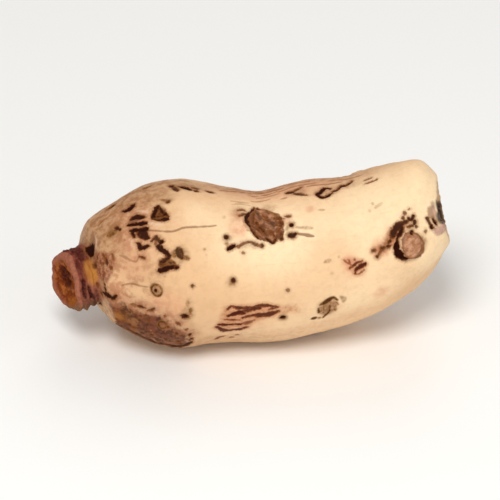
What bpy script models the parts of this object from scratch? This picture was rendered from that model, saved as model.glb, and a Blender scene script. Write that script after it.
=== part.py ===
"""A small taro, a cormel, lying on its side at its real size.

It grew as one piece, so it is one solid. The stub of its shoot points to -X, the end that broke from
the parent corm is at +X and curves up, and +Z is up. The origin is below the middle of its box, on
the surface that it lies on.

Places on it are given by two numbers: the distance in mm along its centre line from the stub's end,
and the angle in degrees round that line, from 0 at the top through 90 at the -Y side.
"""

import math
from typing import NamedTuple

import bmesh
import bpy
import numpy as np
from mathutils import Matrix, Vector, noise

NAME = "taro"
MM = 0.001

# Centre line from the stub's end to the broken end: x, y, z in mm.
SPINE = np.array(
    [
        (-68.6, -2.6, -1.6),
        (-64.4, -0.8, -1.4),
        (-60.0, 1.0, -0.9),
        (-51.8, 2.6, 0.0),
        (-40.9, 3.2, 0.9),
        (-25.1, 2.6, 0.9),
        (-8.5, 1.0, 0.1),
        (2.2, 0.0, -0.5),
        (15.1, -0.7, 0.9),
        (27.5, -0.9, 3.4),
        (41.2, -1.0, 6.5),
        (52.9, -1.0, 10.8),
        (63.8, -0.8, 14.3),
        (69.5, -0.5, 15.7),
    ]
)

# Outline, turned about the centre line: distance along it and radius, in mm. It runs over the stub's
# dished face, along the stub, up the shoulder, along the body and over the broken end.
OUTLINE = np.array(
    [
        (2.4, 0.0),
        (2.2, 3.0),
        (1.9, 5.6),
        (1.2, 7.8),
        (0.8, 9.3),
        (1.1, 10.7),
        (2.4, 11.4),
        (6.0, 11.5),
        (9.4, 11.3),
        (10.6, 11.5),
        (12.2, 14.6),
        (13.6, 17.6),
        (16.4, 19.8),
        (20.5, 21.8),
        (25.5, 24.4),
        (35.6, 28.6),
        (44.3, 30.0),
        (53.6, 28.8),
        (60.8, 27.9),
        (71.6, 27.1),
        (84.5, 27.3),
        (97.0, 26.9),
        (104.0, 26.2),
        (111.0, 25.4),
        (119.5, 24.5),
        (126.0, 23.4),
        (132.0, 21.7),
        (137.0, 18.9),
        (140.4, 14.6),
        (142.0, 9.0),
        (142.5, 4.0),
        (142.6, 0.0),
    ]
)
# The stub's face turns into its side between these radii, and the lumps are in full from the third.
FACE_ENDS, SIDE_STARTS, FULL_RADIUS = 7.5, 10.5, 20.0
# How much wider it is than high, and how much further its top reaches than its underside at the end.
WIDER = 1.03
LEAN_FROM, LEAN_TO, END_LEAN = 116.0, 138.0, 0.08


class Lump(NamedTuple):
    """A broad swelling or dent: its place, how far it reaches and how much it rises, in mm."""

    along: float
    around: float
    reach: float
    rise: float


LUMPS = (
    Lump(along=26, around=145, reach=13, rise=1.6),
    Lump(along=88, around=186, reach=18, rise=2.0),
    Lump(along=90, around=130, reach=22, rise=-0.7),
    Lump(along=135, around=0, reach=12, rise=2.2),
    Lump(along=134, around=135, reach=20, rise=-3.4),
    Lump(along=142, around=45, reach=10, rise=-2.4),
    Lump(along=138, around=140, reach=12, rise=-2.4),
    Lump(along=140.5, around=-20, reach=6, rise=2.4),
    Lump(along=30, around=255, reach=14, rise=1.4),
    Lump(along=66, around=262, reach=20, rise=-1.8),
    Lump(along=106, around=258, reach=17, rise=1.2),
)


class Groove(NamedTuple):
    """A groove between two leaf bases on the stub. Its depth swells and fades on the way round."""

    along: float
    depth: float
    half_width: float
    swells: int
    phase: float


GROOVES = (
    Groove(along=2.9, depth=1.0, half_width=0.7, swells=1, phase=-0.4),
    Groove(along=5.9, depth=1.2, half_width=0.9, swells=1, phase=-0.9),
    Groove(along=8.6, depth=0.7, half_width=0.7, swells=2, phase=1.7),
)
# The stub isn't round: how far it stands out or in, in mm, for so many lobes round it, and from where.
STUB_LOBES = ((0.5, 2, 0.6), (0.35, 3, 2.0), (0.2, 5, 1.1))
# How far its grooves and its shoulder wander along it, in the same form.
STUB_WAVES = ((0.7, 2, 2.2), (0.4, 3, 0.3), (0.25, 7, 1.0))
STUB_ENDS, SHOULDER_ENDS = 10.6, 24.0


class Scar(NamedTuple):
    """Where a bud, a shoot or the parent corm broke off: an oval of skin that stands up or is sunk.

    turn is in degrees, from lengthwise towards round the body. rise is the middle's height and rim
    the height of the ring round it, both negative where they are sunk. rough is the lumps inside.
    """

    along: float
    around: float
    length: float
    width: float
    turn: float
    rise: float
    rim: float
    rough: float


SCARS = (
    # The parent corm's, in the broken end.
    Scar(along=142.4, around=28, length=23, width=24, turn=0, rise=-4.0, rim=0.4, rough=0.6),
    # Buds on the side towards -Y and the top.
    Scar(along=76.0, around=28, length=18, width=12, turn=32, rise=-0.8, rim=0.35, rough=0.35),
    Scar(along=127.0, around=75, length=9.4, width=10.4, turn=0, rise=1.3, rim=-0.8, rough=0.2),
    Scar(along=35.5, around=18, length=6.4, width=6.0, turn=0, rise=-1.1, rim=0.4, rough=0.2),
    Scar(along=32.8, around=76, length=4.8, width=4.8, turn=0, rise=0.4, rim=-0.4, rough=0.0),
    # Buds on the sides away from it, on the same spiral.
    Scar(along=52.0, around=298, length=15, width=11, turn=-20, rise=-0.7, rim=0.35, rough=0.35),
    Scar(along=101.0, around=236, length=12, width=9.5, turn=15, rise=1.0, rim=-0.6, rough=0.2),
    Scar(along=25.5, around=222, length=7.0, width=6.0, turn=0, rise=-0.8, rim=0.4, rough=0.2),
    Scar(along=118.0, around=318, length=6.6, width=6.0, turn=0, rise=0.7, rim=-0.5, rough=0.1),
)
# Where its level middle ends and its rim runs, as shares of the way out to its edge.
MIDDLE_ENDS, RIM_AT, RIM_WIDTH = 0.55, 1.05, 0.17
ROUGH_SCALE = 3.2

# Slight unevenness of the whole skin, in mm.
UNEVEN, UNEVEN_SCALE = 0.5, 17.0
# How much of the underside is pressed flat where it lies.
FLOOR_CUT = 1.6

# Faces: rings from end to end and segments round, with the rings closer on the stub's length of outline.
RINGS, SEGMENTS = 72, 42
STUB_OUTLINE, STUB_DENSITY = 26.0, 3.2
# Round a scar the edges are split till they are under this share of its length, within limits in mm.
FINE_SHARE, FINEST, COARSEST, FINE_MARGIN = 0.13, 0.85, 1.6, 2.2

SKIN_COLOUR = (0.86, 0.69, 0.46, 1)


def smooth(stations, values, at):
    """A smooth curve through the values at the stations, read at the places given."""
    slopes = np.gradient(values, stations, axis=0)
    left = np.clip(np.searchsorted(stations, at) - 1, 0, len(stations) - 2)
    width = stations[left + 1] - stations[left]
    t = (at - stations[left]) / width
    shape = t.shape + (1,) * (values.ndim - 1)
    t, width = t.reshape(shape), width.reshape(shape)
    rest = 1 - t
    return (
        values[left] * rest * rest * (1 + 2 * t)
        + values[left + 1] * t * t * (1 + 2 * rest)
        + slopes[left] * width * t * rest * rest
        - slopes[left + 1] * width * t * t * rest
    )


def lengths_along(points):
    """How far each point lies along the line through them all."""
    steps = np.linalg.norm(np.diff(points, axis=0), axis=1)
    return np.concatenate([[0.0], np.cumsum(steps)])


SPINE_AT = lengths_along(SPINE)
OUTLINE_AT = lengths_along(OUTLINE)


def counted_places():
    """Places along the outline, and a count along them that runs faster on the stub, for its rings."""
    places = np.linspace(0, OUTLINE_AT[-1], 400)
    density = 1 + (STUB_DENSITY - 1) / (1 + np.exp((places - STUB_OUTLINE) / 2))
    count = np.concatenate([[0.0], np.cumsum((density[1:] + density[:-1]) / 2)])
    return places, count / count[-1]


PLACES, COUNT = counted_places()


def sphere_directions(share, around):
    """Directions from a unit sphere's centre, for shares of the half turn from -X to +X."""
    polar = share * math.pi
    return np.stack(
        [-np.cos(polar), -np.sin(around) * np.sin(polar), np.cos(around) * np.sin(polar)], axis=-1
    )


def wrapped(angle):
    """The angle, in radians, brought to within half a turn of zero."""
    return (angle + math.pi) % (2 * math.pi) - math.pi


def eased(low, high, value):
    """From 0 at low to 1 at high, with no corner at either."""
    t = np.clip((value - low) / (high - low), 0, 1)
    return t * t * (3 - 2 * t)


def waves(parts, around):
    """The sum of waves round the taro, each given as its height, its number of crests and its phase."""
    return sum(height * np.sin(crests * around + phase) for height, crests, phase in parts)


def stub_relief(along, around):
    """How far the stub's lobes and grooves raise its side, in mm."""
    rise = waves(STUB_LOBES, around)
    for groove in GROOVES:
        depth = groove.depth * (0.65 + 0.35 * np.sin(groove.swells * around + groove.phase))
        rise -= depth * np.exp(-(((along - groove.along) / groove.half_width) ** 2))
    return rise * (1 - eased(STUB_ENDS - 2, STUB_ENDS + 1, along))


def swelling(along, around, radius):
    """How far the lumps raise the skin, in mm."""
    rise = np.zeros_like(along)
    for lump in LUMPS:
        across = radius * wrapped(around - math.radians(lump.around))
        rise += lump.rise * np.exp(-((along - lump.along) ** 2 + across**2) / lump.reach**2)
    return rise


def spine_frame(along):
    """The centre line's point, and the directions up and sideways across it, at distances along it."""
    reach = 2.0
    at = np.clip(along, SPINE_AT[0], SPINE_AT[-1])
    ahead = smooth(SPINE_AT, SPINE, np.clip(at + reach, 0, SPINE_AT[-1]))
    behind = smooth(SPINE_AT, SPINE, np.clip(at - reach, 0, SPINE_AT[-1]))
    tangent = ahead - behind
    tangent /= np.linalg.norm(tangent, axis=1, keepdims=True)
    side = np.cross([0.0, 0.0, 1.0], tangent)
    side /= np.linalg.norm(side, axis=1, keepdims=True)
    up = np.cross(tangent, side)
    point = smooth(SPINE_AT, SPINE, at) + tangent * (along - at)[:, None]
    return point, up, side


def skin_places(directions):
    """The place that each direction from a unit sphere's centre lands on: along, around and radius."""
    share = np.arccos(np.clip(-directions[:, 0], -1, 1)) / math.pi
    around = np.arctan2(-directions[:, 1], directions[:, 2])
    along, radius = smooth(OUTLINE_AT, OUTLINE, np.interp(share, COUNT, PLACES)).T
    return along, around, radius


def body_points(directions):
    """Where the directions land on the taro before its scars, in mm."""
    along, around, radius = skin_places(directions)
    on_side = eased(FACE_ENDS, SIDE_STARTS, radius)
    swollen = np.clip(radius / FULL_RADIUS, 0, 1) * swelling(along, around, radius)
    radius = radius + swollen + on_side * stub_relief(along, around)
    wander = waves(STUB_WAVES, around) * (1 - eased(STUB_ENDS, SHOULDER_ENDS, along))
    lean = END_LEAN * radius * np.cos(around) * eased(LEAN_FROM, LEAN_TO, along)
    along = along + on_side * wander + lean
    centre, up, side = spine_frame(along)
    return (
        centre
        + up * (radius * np.cos(around))[:, None]
        - side * (WIDER * radius * np.sin(around))[:, None]
    )


def scar_frame(scar):
    """The scar's middle, and unit vectors along its length, across it and out of the skin."""
    body = PLACES > STUB_OUTLINE
    share = np.interp(scar.along, smooth(OUTLINE_AT, OUTLINE, PLACES[body])[:, 0], COUNT[body])
    around = math.radians(scar.around)
    near = 0.004
    shares = np.array([share, share + near, share - near, share, share])
    arounds = np.array([around, around, around, around + near, around - near])
    middle, ahead, behind, lower, upper = body_points(sphere_directions(shares, arounds))
    lengthwise = (ahead - behind) / np.linalg.norm(ahead - behind)
    outward = np.cross(lengthwise, upper - lower)
    outward /= np.linalg.norm(outward)
    crosswise = np.cross(lengthwise, outward)
    if np.dot(crosswise, lower - upper) < 0:
        crosswise, outward = -crosswise, -outward
    turn = math.radians(scar.turn)
    length_axis = lengthwise * math.cos(turn) + crosswise * math.sin(turn)
    width_axis = crosswise * math.cos(turn) - lengthwise * math.sin(turn)
    return middle, length_axis, width_axis, outward


def scar_distance(scar, points):
    """How far each point is from the scar's middle, where 1 is its edge, and out of its plane, in mm."""
    middle, length_axis, width_axis, outward = scar_frame(scar)
    offset = points - middle
    lengthwise = offset @ length_axis / (scar.length / 2)
    crosswise = offset @ width_axis / (scar.width / 2)
    return np.hypot(lengthwise, crosswise), np.abs(offset @ outward)


def lumps_at(points, scale):
    """Smooth lumps between about -1 and 1, of the size given in mm."""
    return np.array([noise.noise(Vector(point) / scale) for point in points]) * 2


def scar_relief(points):
    """How far the scars raise the skin at the points, in mm."""
    rise = np.zeros(len(points))
    roughness = lumps_at(points, ROUGH_SCALE)
    for scar in SCARS:
        distance, off_plane = scar_distance(scar, points)
        middle = 1 - eased(MIDDLE_ENDS, 1.0, distance)
        rim = np.exp(-(((distance - RIM_AT) / RIM_WIDTH) ** 2))
        raised = middle * (scar.rise + scar.rough * roughness) + rim * scar.rim
        rise += np.where(off_plane < scar.length, raised, 0)
    return rise


def unevenness(points, along):
    """How far the body's skin stands out of its smooth form at the points, in mm."""
    return eased(STUB_ENDS, SHOULDER_ENDS, along) * UNEVEN * lumps_at(points, UNEVEN_SCALE)


def edges_to_split(bm):
    """The edges near a scar that are too long to show it."""
    points = body_points(np.array([vertex.co for vertex in bm.verts]))
    ends = np.array([[vertex.index for vertex in edge.verts] for edge in bm.edges])
    starts, stops = points[ends[:, 0]], points[ends[:, 1]]
    lengths = np.linalg.norm(stops - starts, axis=1)
    split = np.zeros(len(ends), bool)
    for scar in SCARS:
        distance, off_plane = scar_distance(scar, (starts + stops) / 2)
        size = (scar.length + scar.width) / 4
        near = ((distance - 1) * size < FINE_MARGIN) & (off_plane < scar.length)
        split |= near & (lengths > np.clip(FINE_SHARE * scar.length, FINEST, COARSEST))
    return [edge for edge, wanted in zip(bm.edges, split) if wanted]


def refined_sphere():
    """A unit sphere with its poles on X, and with smaller faces where the scars go."""
    bm = bmesh.new()
    poles_on_x = Matrix.Rotation(math.radians(90), 4, "Y")
    bmesh.ops.create_uvsphere(bm, u_segments=SEGMENTS, v_segments=RINGS, radius=1, matrix=poles_on_x)
    edges = edges_to_split(bm)
    while edges:
        bmesh.ops.subdivide_edges(bm, edges=edges, cuts=1, use_grid_fill=True)
        for vertex in bm.verts:
            vertex.co.normalize()
        bm.verts.index_update()
        edges = edges_to_split(bm)
    bmesh.ops.triangulate(bm, faces=bm.faces)
    return bm


def move_vertices(bm, points):
    for vertex, point in zip(bm.verts, points):
        vertex.co = Vector(point)
    bm.normal_update()


def taro_mesh():
    bm = refined_sphere()
    directions = np.array([vertex.co for vertex in bm.verts])
    points = body_points(directions)
    bmesh.ops.recalc_face_normals(bm, faces=bm.faces)
    move_vertices(bm, points)
    outward = np.array([vertex.normal for vertex in bm.verts])
    relief = scar_relief(points) + unevenness(points, skin_places(directions)[0])
    points = points + outward * relief[:, None]
    points[:, 2] = np.maximum(points[:, 2], points[:, 2].min() + FLOOR_CUT)
    low, high = points.min(axis=0), points.max(axis=0)
    base = np.array([(low[0] + high[0]) / 2, (low[1] + high[1]) / 2, low[2]])
    move_vertices(bm, (points - base) * MM)
    mesh = bpy.data.meshes.new(NAME)
    bm.to_mesh(mesh)
    bm.free()
    return mesh


def skin_material():
    material = bpy.data.materials.new("taro_skin")
    material.use_nodes = True
    shader = material.node_tree.nodes["Principled BSDF"]
    shader.inputs["Base Color"].default_value = SKIN_COLOUR
    shader.inputs["Roughness"].default_value = 0.55
    shader.inputs["Metallic"].default_value = 0.0
    material.diffuse_color = SKIN_COLOUR
    return material


def main():
    for old in list(bpy.data.objects):
        bpy.data.objects.remove(old)
    mesh = taro_mesh()
    mesh.shade_smooth()
    mesh.materials.append(skin_material())
    taro = bpy.data.objects.new(NAME, mesh)
    collection = bpy.data.collections.new(NAME)
    bpy.context.scene.collection.children.link(collection)
    collection.objects.link(taro)


if __name__ == "__main__":
    main()
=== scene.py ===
"""The looks of a small taro, a cormel, lying on its side on a pale floor.

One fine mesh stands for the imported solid. It has the same form, worked out from the same values, with
the finer relief of its scars, stub, cracks and left-on skin. What marks it is written below by place:
the distance in mm along its centre line from the stub's end, and the angle in degrees round that line,
from 0 at the top through 90 at the -Y side. Each kind of mark becomes a measure on the mesh, and the
material turns those measures into colour, gloss and fine bump.
"""

import math
import random
from typing import NamedTuple

import bmesh
import bpy
import numpy as np
from mathutils import Matrix, Vector, noise

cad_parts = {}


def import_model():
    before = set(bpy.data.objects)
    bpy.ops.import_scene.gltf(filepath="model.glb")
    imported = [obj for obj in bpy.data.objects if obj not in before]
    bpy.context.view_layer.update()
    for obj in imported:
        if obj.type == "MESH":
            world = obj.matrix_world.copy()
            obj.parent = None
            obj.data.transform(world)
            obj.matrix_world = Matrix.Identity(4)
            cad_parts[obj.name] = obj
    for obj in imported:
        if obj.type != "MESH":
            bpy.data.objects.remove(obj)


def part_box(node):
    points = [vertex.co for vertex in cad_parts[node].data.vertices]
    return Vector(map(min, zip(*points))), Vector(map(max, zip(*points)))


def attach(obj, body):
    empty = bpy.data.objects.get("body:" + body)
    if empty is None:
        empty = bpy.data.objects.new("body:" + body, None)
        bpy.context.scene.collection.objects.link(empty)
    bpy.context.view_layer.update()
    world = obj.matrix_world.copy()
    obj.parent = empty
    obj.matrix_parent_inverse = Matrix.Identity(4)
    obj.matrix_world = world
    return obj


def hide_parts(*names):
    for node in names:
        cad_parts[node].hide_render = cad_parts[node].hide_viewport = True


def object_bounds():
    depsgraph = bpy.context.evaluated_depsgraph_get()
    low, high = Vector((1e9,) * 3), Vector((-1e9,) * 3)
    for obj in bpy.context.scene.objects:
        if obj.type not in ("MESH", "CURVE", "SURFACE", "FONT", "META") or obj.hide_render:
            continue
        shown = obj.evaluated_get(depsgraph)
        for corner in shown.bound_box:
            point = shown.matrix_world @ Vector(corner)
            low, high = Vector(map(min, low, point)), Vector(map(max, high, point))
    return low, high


MM = 0.001

# The form: the centre line, and the outline that is turned about it, all in mm.

SPINE = np.array(
    [
        (-68.6, -2.6, -1.6), (-64.4, -0.8, -1.4), (-60.0, 1.0, -0.9), (-51.8, 2.6, 0.0),
        (-40.9, 3.2, 0.9), (-25.1, 2.6, 0.9), (-8.5, 1.0, 0.1), (2.2, 0.0, -0.5),
        (15.1, -0.7, 0.9), (27.5, -0.9, 3.4), (41.2, -1.0, 6.5), (52.9, -1.0, 10.8),
        (63.8, -0.8, 14.3), (69.5, -0.5, 15.7),
    ]
)
OUTLINE = np.array(
    [
        (2.4, 0.0), (2.2, 3.0), (1.9, 5.6), (1.2, 7.8), (0.8, 9.3), (1.1, 10.7), (2.4, 11.4),
        (6.0, 11.5), (9.4, 11.3), (10.6, 11.5), (12.2, 14.6), (13.6, 17.6), (16.4, 19.8), (20.5, 21.8),
        (25.5, 24.4), (35.6, 28.6), (44.3, 30.0), (53.6, 28.8), (60.8, 27.9), (71.6, 27.1), (84.5, 27.3),
        (97.0, 26.9), (104.0, 26.2), (111.0, 25.4), (119.5, 24.5), (126.0, 23.4), (132.0, 21.7),
        (137.0, 18.9), (140.4, 14.6), (142.0, 9.0), (142.5, 4.0), (142.6, 0.0),
    ]
)
FACE_ENDS, SIDE_STARTS, FULL_RADIUS = 7.5, 10.5, 20.0
WIDER = 1.03
LEAN_FROM, LEAN_TO, END_LEAN = 116.0, 138.0, 0.08


class Lump(NamedTuple):
    """A broad swelling or dent: its place, how far it reaches and how much it rises, in mm."""

    along: float
    around: float
    reach: float
    rise: float


LUMPS = (
    Lump(along=26, around=145, reach=13, rise=1.6),
    Lump(along=88, around=186, reach=18, rise=2.0),
    Lump(along=90, around=130, reach=22, rise=-0.7),
    Lump(along=135, around=0, reach=12, rise=2.2),
    Lump(along=134, around=135, reach=20, rise=-3.4),
    Lump(along=142, around=45, reach=10, rise=-2.4),
    Lump(along=138, around=140, reach=12, rise=-2.4),
    Lump(along=140.5, around=-20, reach=6, rise=2.4),
    Lump(along=30, around=255, reach=14, rise=1.4),
    Lump(along=66, around=262, reach=20, rise=-1.8),
    Lump(along=106, around=258, reach=17, rise=1.2),
)


class Groove(NamedTuple):
    """A groove between two leaf bases on the stub. Its depth swells and fades on the way round."""

    along: float
    depth: float
    half_width: float
    swells: int
    phase: float


GROOVES = (
    Groove(along=2.9, depth=1.0, half_width=0.7, swells=1, phase=-0.4),
    Groove(along=5.9, depth=1.2, half_width=0.9, swells=1, phase=-0.9),
    Groove(along=8.6, depth=0.7, half_width=0.7, swells=2, phase=1.7),
)
# Waves round the stub, each as its height in mm, its number of crests and its phase.
STUB_LOBES = ((0.5, 2, 0.6), (0.35, 3, 2.0), (0.2, 5, 1.1))
STUB_WAVES = ((0.7, 2, 2.2), (0.4, 3, 0.3), (0.25, 7, 1.0))
STUB_ENDS, SHOULDER_ENDS = 10.6, 24.0


class Scar(NamedTuple):
    """Where a bud, a shoot or the parent corm broke off: an oval of skin that stands up or is sunk."""

    along: float
    around: float
    length: float
    width: float
    turn: float
    rise: float
    rim: float
    rough: float


HOLLOW = Scar(along=142.4, around=28, length=23, width=24, turn=0, rise=-4.0, rim=0.4, rough=0.6)
TORN_BUD = Scar(along=76.0, around=28, length=18, width=12, turn=32, rise=-0.8, rim=0.35, rough=0.35)
BUD_DISC = Scar(along=127.0, around=75, length=9.4, width=10.4, turn=0, rise=1.3, rim=-0.8, rough=0.2)
CUP = Scar(along=35.5, around=18, length=6.4, width=6.0, turn=0, rise=-1.1, rim=0.4, rough=0.2)
RINGED_DOT = Scar(along=32.8, around=76, length=4.8, width=4.8, turn=0, rise=0.4, rim=-0.4, rough=0.0)
BACK_TORN_BUD = Scar(along=52, around=298, length=15, width=11, turn=-20, rise=-0.7, rim=0.35, rough=0.35)
BACK_DISC = Scar(along=101, around=236, length=12, width=9.5, turn=15, rise=1.0, rim=-0.6, rough=0.2)
BACK_CUP = Scar(along=25.5, around=222, length=7.0, width=6.0, turn=0, rise=-0.8, rim=0.4, rough=0.2)
BACK_DOT = Scar(along=118, around=318, length=6.6, width=6.0, turn=0, rise=0.7, rim=-0.5, rough=0.1)
SCARS = (
    HOLLOW, TORN_BUD, BUD_DISC, CUP, RINGED_DOT,
    BACK_TORN_BUD, BACK_DISC, BACK_CUP, BACK_DOT,
)
MIDDLE_ENDS, RIM_AT, RIM_WIDTH = 0.55, 1.05, 0.17
ROUGH_SCALE = 3.2
UNEVEN, UNEVEN_SCALE = 0.5, 17.0
FLOOR_CUT = 1.6

# Faces of the fine mesh, and where it is finer still: the longest edges there, in mm.
RINGS, SEGMENTS = 250, 220
STUB_OUTLINE, STUB_DENSITY = 26.0, 2.6
SIDE_OUTLINE = 11.5
SCAR_EDGE, MARK_EDGE, MARK_REACH = 0.55, 0.45, 0.9


def smooth(stations, values, at):
    """A smooth curve through the values at the stations, read at the places given."""
    slopes = np.gradient(values, stations, axis=0)
    left = np.clip(np.searchsorted(stations, at) - 1, 0, len(stations) - 2)
    width = stations[left + 1] - stations[left]
    t = (at - stations[left]) / width
    shape = t.shape + (1,) * (values.ndim - 1)
    t, width = t.reshape(shape), width.reshape(shape)
    rest = 1 - t
    return (
        values[left] * rest * rest * (1 + 2 * t)
        + values[left + 1] * t * t * (1 + 2 * rest)
        + slopes[left] * width * t * rest * rest
        - slopes[left + 1] * width * t * t * rest
    )


def lengths_along(points):
    """How far each point lies along the line through them all."""
    steps = np.linalg.norm(np.diff(points, axis=0), axis=1)
    return np.concatenate([[0.0], np.cumsum(steps)])


SPINE_AT = lengths_along(SPINE)
OUTLINE_AT = lengths_along(OUTLINE)


def counted_places():
    """Places along the outline, and a count along them that runs faster on the stub, for its rings."""
    places = np.linspace(0, OUTLINE_AT[-1], 400)
    density = 1 + (STUB_DENSITY - 1) / (1 + np.exp((places - STUB_OUTLINE) / 2))
    count = np.concatenate([[0.0], np.cumsum((density[1:] + density[:-1]) / 2)])
    return places, count / count[-1]


PLACES, COUNT = counted_places()
SIDE = PLACES > SIDE_OUTLINE
SIDE_ALONG = smooth(OUTLINE_AT, OUTLINE, PLACES[SIDE])[:, 0]


def share_at(along):
    """The share of the half turn from -X to +X, on the unit sphere, for a distance along the side."""
    return np.interp(along, SIDE_ALONG, COUNT[SIDE])


def sphere_directions(share, around):
    """Directions from a unit sphere's centre, for shares of the half turn from -X to +X."""
    polar = share * math.pi
    return np.stack(
        [-np.cos(polar), -np.sin(around) * np.sin(polar), np.cos(around) * np.sin(polar)], axis=-1
    )


def wrapped(angle):
    """The angle, in radians, brought to within half a turn of zero."""
    return (angle + math.pi) % (2 * math.pi) - math.pi


def eased(low, high, value):
    """From 0 at low to 1 at high, with no corner at either."""
    t = np.clip((value - low) / (high - low), 0, 1)
    return t * t * (3 - 2 * t)


def inside(distance, soft):
    """From 0 outside a mark to 1 inside it, changing over twice the soft distance at its edge, in mm."""
    return 1 - eased(-soft, soft, distance)


def waves(parts, around):
    """The sum of waves round the taro, each given as its height, its number of crests and its phase."""
    return sum(height * np.sin(crests * around + phase) for height, crests, phase in parts)


def groove_depths(along, around):
    """How deep the stub's grooves are there, in mm."""
    depth = np.zeros_like(along)
    for groove in GROOVES:
        swell = 0.65 + 0.35 * np.sin(groove.swells * around + groove.phase)
        depth += groove.depth * swell * np.exp(-(((along - groove.along) / groove.half_width) ** 2))
    return depth


def stub_relief(along, around):
    """How far the stub's lobes and grooves raise its side, in mm."""
    rise = waves(STUB_LOBES, around) - groove_depths(along, around)
    return rise * (1 - eased(STUB_ENDS - 2, STUB_ENDS + 1, along))


def swelling(along, around, radius):
    """How far the lumps raise the skin, in mm."""
    rise = np.zeros_like(along)
    for lump in LUMPS:
        across = radius * wrapped(around - math.radians(lump.around))
        rise += lump.rise * np.exp(-((along - lump.along) ** 2 + across**2) / lump.reach**2)
    return rise


def spine_frame(along):
    """The centre line's point, and the directions up and sideways across it, at distances along it."""
    reach = 2.0
    at = np.clip(along, SPINE_AT[0], SPINE_AT[-1])
    ahead = smooth(SPINE_AT, SPINE, np.clip(at + reach, 0, SPINE_AT[-1]))
    behind = smooth(SPINE_AT, SPINE, np.clip(at - reach, 0, SPINE_AT[-1]))
    tangent = ahead - behind
    tangent /= np.linalg.norm(tangent, axis=1, keepdims=True)
    side = np.cross([0.0, 0.0, 1.0], tangent)
    side /= np.linalg.norm(side, axis=1, keepdims=True)
    up = np.cross(tangent, side)
    point = smooth(SPINE_AT, SPINE, at) + tangent * (along - at)[:, None]
    return point, up, side


def skin_places(directions):
    """The place that each direction from a unit sphere's centre lands on: along, around and radius."""
    share = np.arccos(np.clip(-directions[:, 0], -1, 1)) / math.pi
    around = np.arctan2(-directions[:, 1], directions[:, 2])
    along, radius = smooth(OUTLINE_AT, OUTLINE, np.interp(share, COUNT, PLACES)).T
    return along, around, radius


class Skin(NamedTuple):
    """Places on the skin: their points in mm, how far along and around they are, and their radius."""

    points: np.ndarray
    along: np.ndarray
    around: np.ndarray
    radius: np.ndarray


def skin_at(directions):
    """The skin where the directions from a unit sphere's centre land."""
    return Skin(body_points(directions), *skin_places(directions))


def body_points(directions):
    """Where the directions land on the taro before its scars, in mm."""
    along, around, radius = skin_places(directions)
    on_side = eased(FACE_ENDS, SIDE_STARTS, radius)
    swollen = np.clip(radius / FULL_RADIUS, 0, 1) * swelling(along, around, radius)
    radius = radius + swollen + on_side * stub_relief(along, around)
    wander = waves(STUB_WAVES, around) * (1 - eased(STUB_ENDS, SHOULDER_ENDS, along))
    lean = END_LEAN * radius * np.cos(around) * eased(LEAN_FROM, LEAN_TO, along)
    along = along + on_side * wander + lean
    centre, up, side = spine_frame(along)
    return (
        centre
        + up * (radius * np.cos(around))[:, None]
        - side * (WIDER * radius * np.sin(around))[:, None]
    )


def places_on_skin(places):
    """The points, in mm, of places given as (along, around in degrees)."""
    along, around = np.array(places, float).T
    return body_points(sphere_directions(share_at(along), np.radians(around)))


def skin_frame(along, around):
    """A place's point, and unit vectors lengthwise, round the body and out of the skin."""
    share, around = float(share_at(along)), math.radians(around)
    near = 0.004
    shares = np.array([share, share + near, share - near, share, share])
    arounds = np.array([around, around, around, around + near, around - near])
    middle, ahead, behind, lower, upper = body_points(sphere_directions(shares, arounds))
    lengthwise = (ahead - behind) / np.linalg.norm(ahead - behind)
    outward = np.cross(lengthwise, upper - lower)
    outward /= np.linalg.norm(outward)
    crosswise = np.cross(lengthwise, outward)
    if np.dot(crosswise, lower - upper) < 0:
        crosswise, outward = -crosswise, -outward
    return middle, lengthwise, crosswise, outward


def oval_distance(oval, points):
    """Where points are on an oval of skin: lengthwise and crosswise as shares of its half sizes, and
    out of its plane in mm."""
    middle, lengthwise, crosswise, outward = skin_frame(oval.along, oval.around)
    turn = math.radians(oval.turn)
    length_axis = lengthwise * math.cos(turn) + crosswise * math.sin(turn)
    width_axis = crosswise * math.cos(turn) - lengthwise * math.sin(turn)
    offset = points - middle
    return (
        offset @ length_axis / (oval.length / 2),
        offset @ width_axis / (oval.width / 2),
        np.abs(offset @ outward),
    )


def scar_distance(scar, points):
    """How far each point is from the scar's middle, where 1 is its edge, and out of its plane, in mm."""
    lengthwise, crosswise, off_plane = oval_distance(scar, points)
    return np.hypot(lengthwise, crosswise), off_plane


def lumps_at(points, scale):
    """Smooth lumps between about -1 and 1, of the size given in mm."""
    return np.array([noise.noise(Vector(point) / scale) for point in points]) * 2


def lumps_together(points, *parts):
    """Lumps of several sizes, each given as its height and its size in mm."""
    return sum(height * lumps_at(points, size) for height, size in parts)


def scar_relief(points):
    """How far the scars raise the skin at the points, in mm."""
    rise = np.zeros(len(points))
    roughness = lumps_at(points, ROUGH_SCALE)
    for scar in SCARS:
        distance, off_plane = scar_distance(scar, points)
        middle = 1 - eased(MIDDLE_ENDS, 1.0, distance)
        rim = np.exp(-(((distance - RIM_AT) / RIM_WIDTH) ** 2))
        raised = middle * (scar.rise + scar.rough * roughness) + rim * scar.rim
        rise += np.where(off_plane < scar.length, raised, 0)
    return rise


def unevenness(points, along):
    """How far the body's skin stands out of its smooth form at the points, in mm."""
    return eased(STUB_ENDS, SHOULDER_ENDS, along) * UNEVEN * lumps_at(points, UNEVEN_SCALE)


# The marks, by kind. A tone says how dark or how strong a mark is, from 0 to 1.


class Stroke(NamedTuple):
    """A line drawn on the skin through places (along, around), of a width in mm, thinner at its ends."""

    width: float
    tone: float
    places: tuple


class Blot(NamedTuple):
    """An oval on the skin, in mm, with its length turned from lengthwise towards round the body."""

    length: float
    width: float
    tone: float
    along: float
    around: float
    turn: float = 0.0


class Patch(NamedTuple):
    """An area of skin with straight sides between its corners (along, around)."""

    tone: float
    corners: tuple


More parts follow.
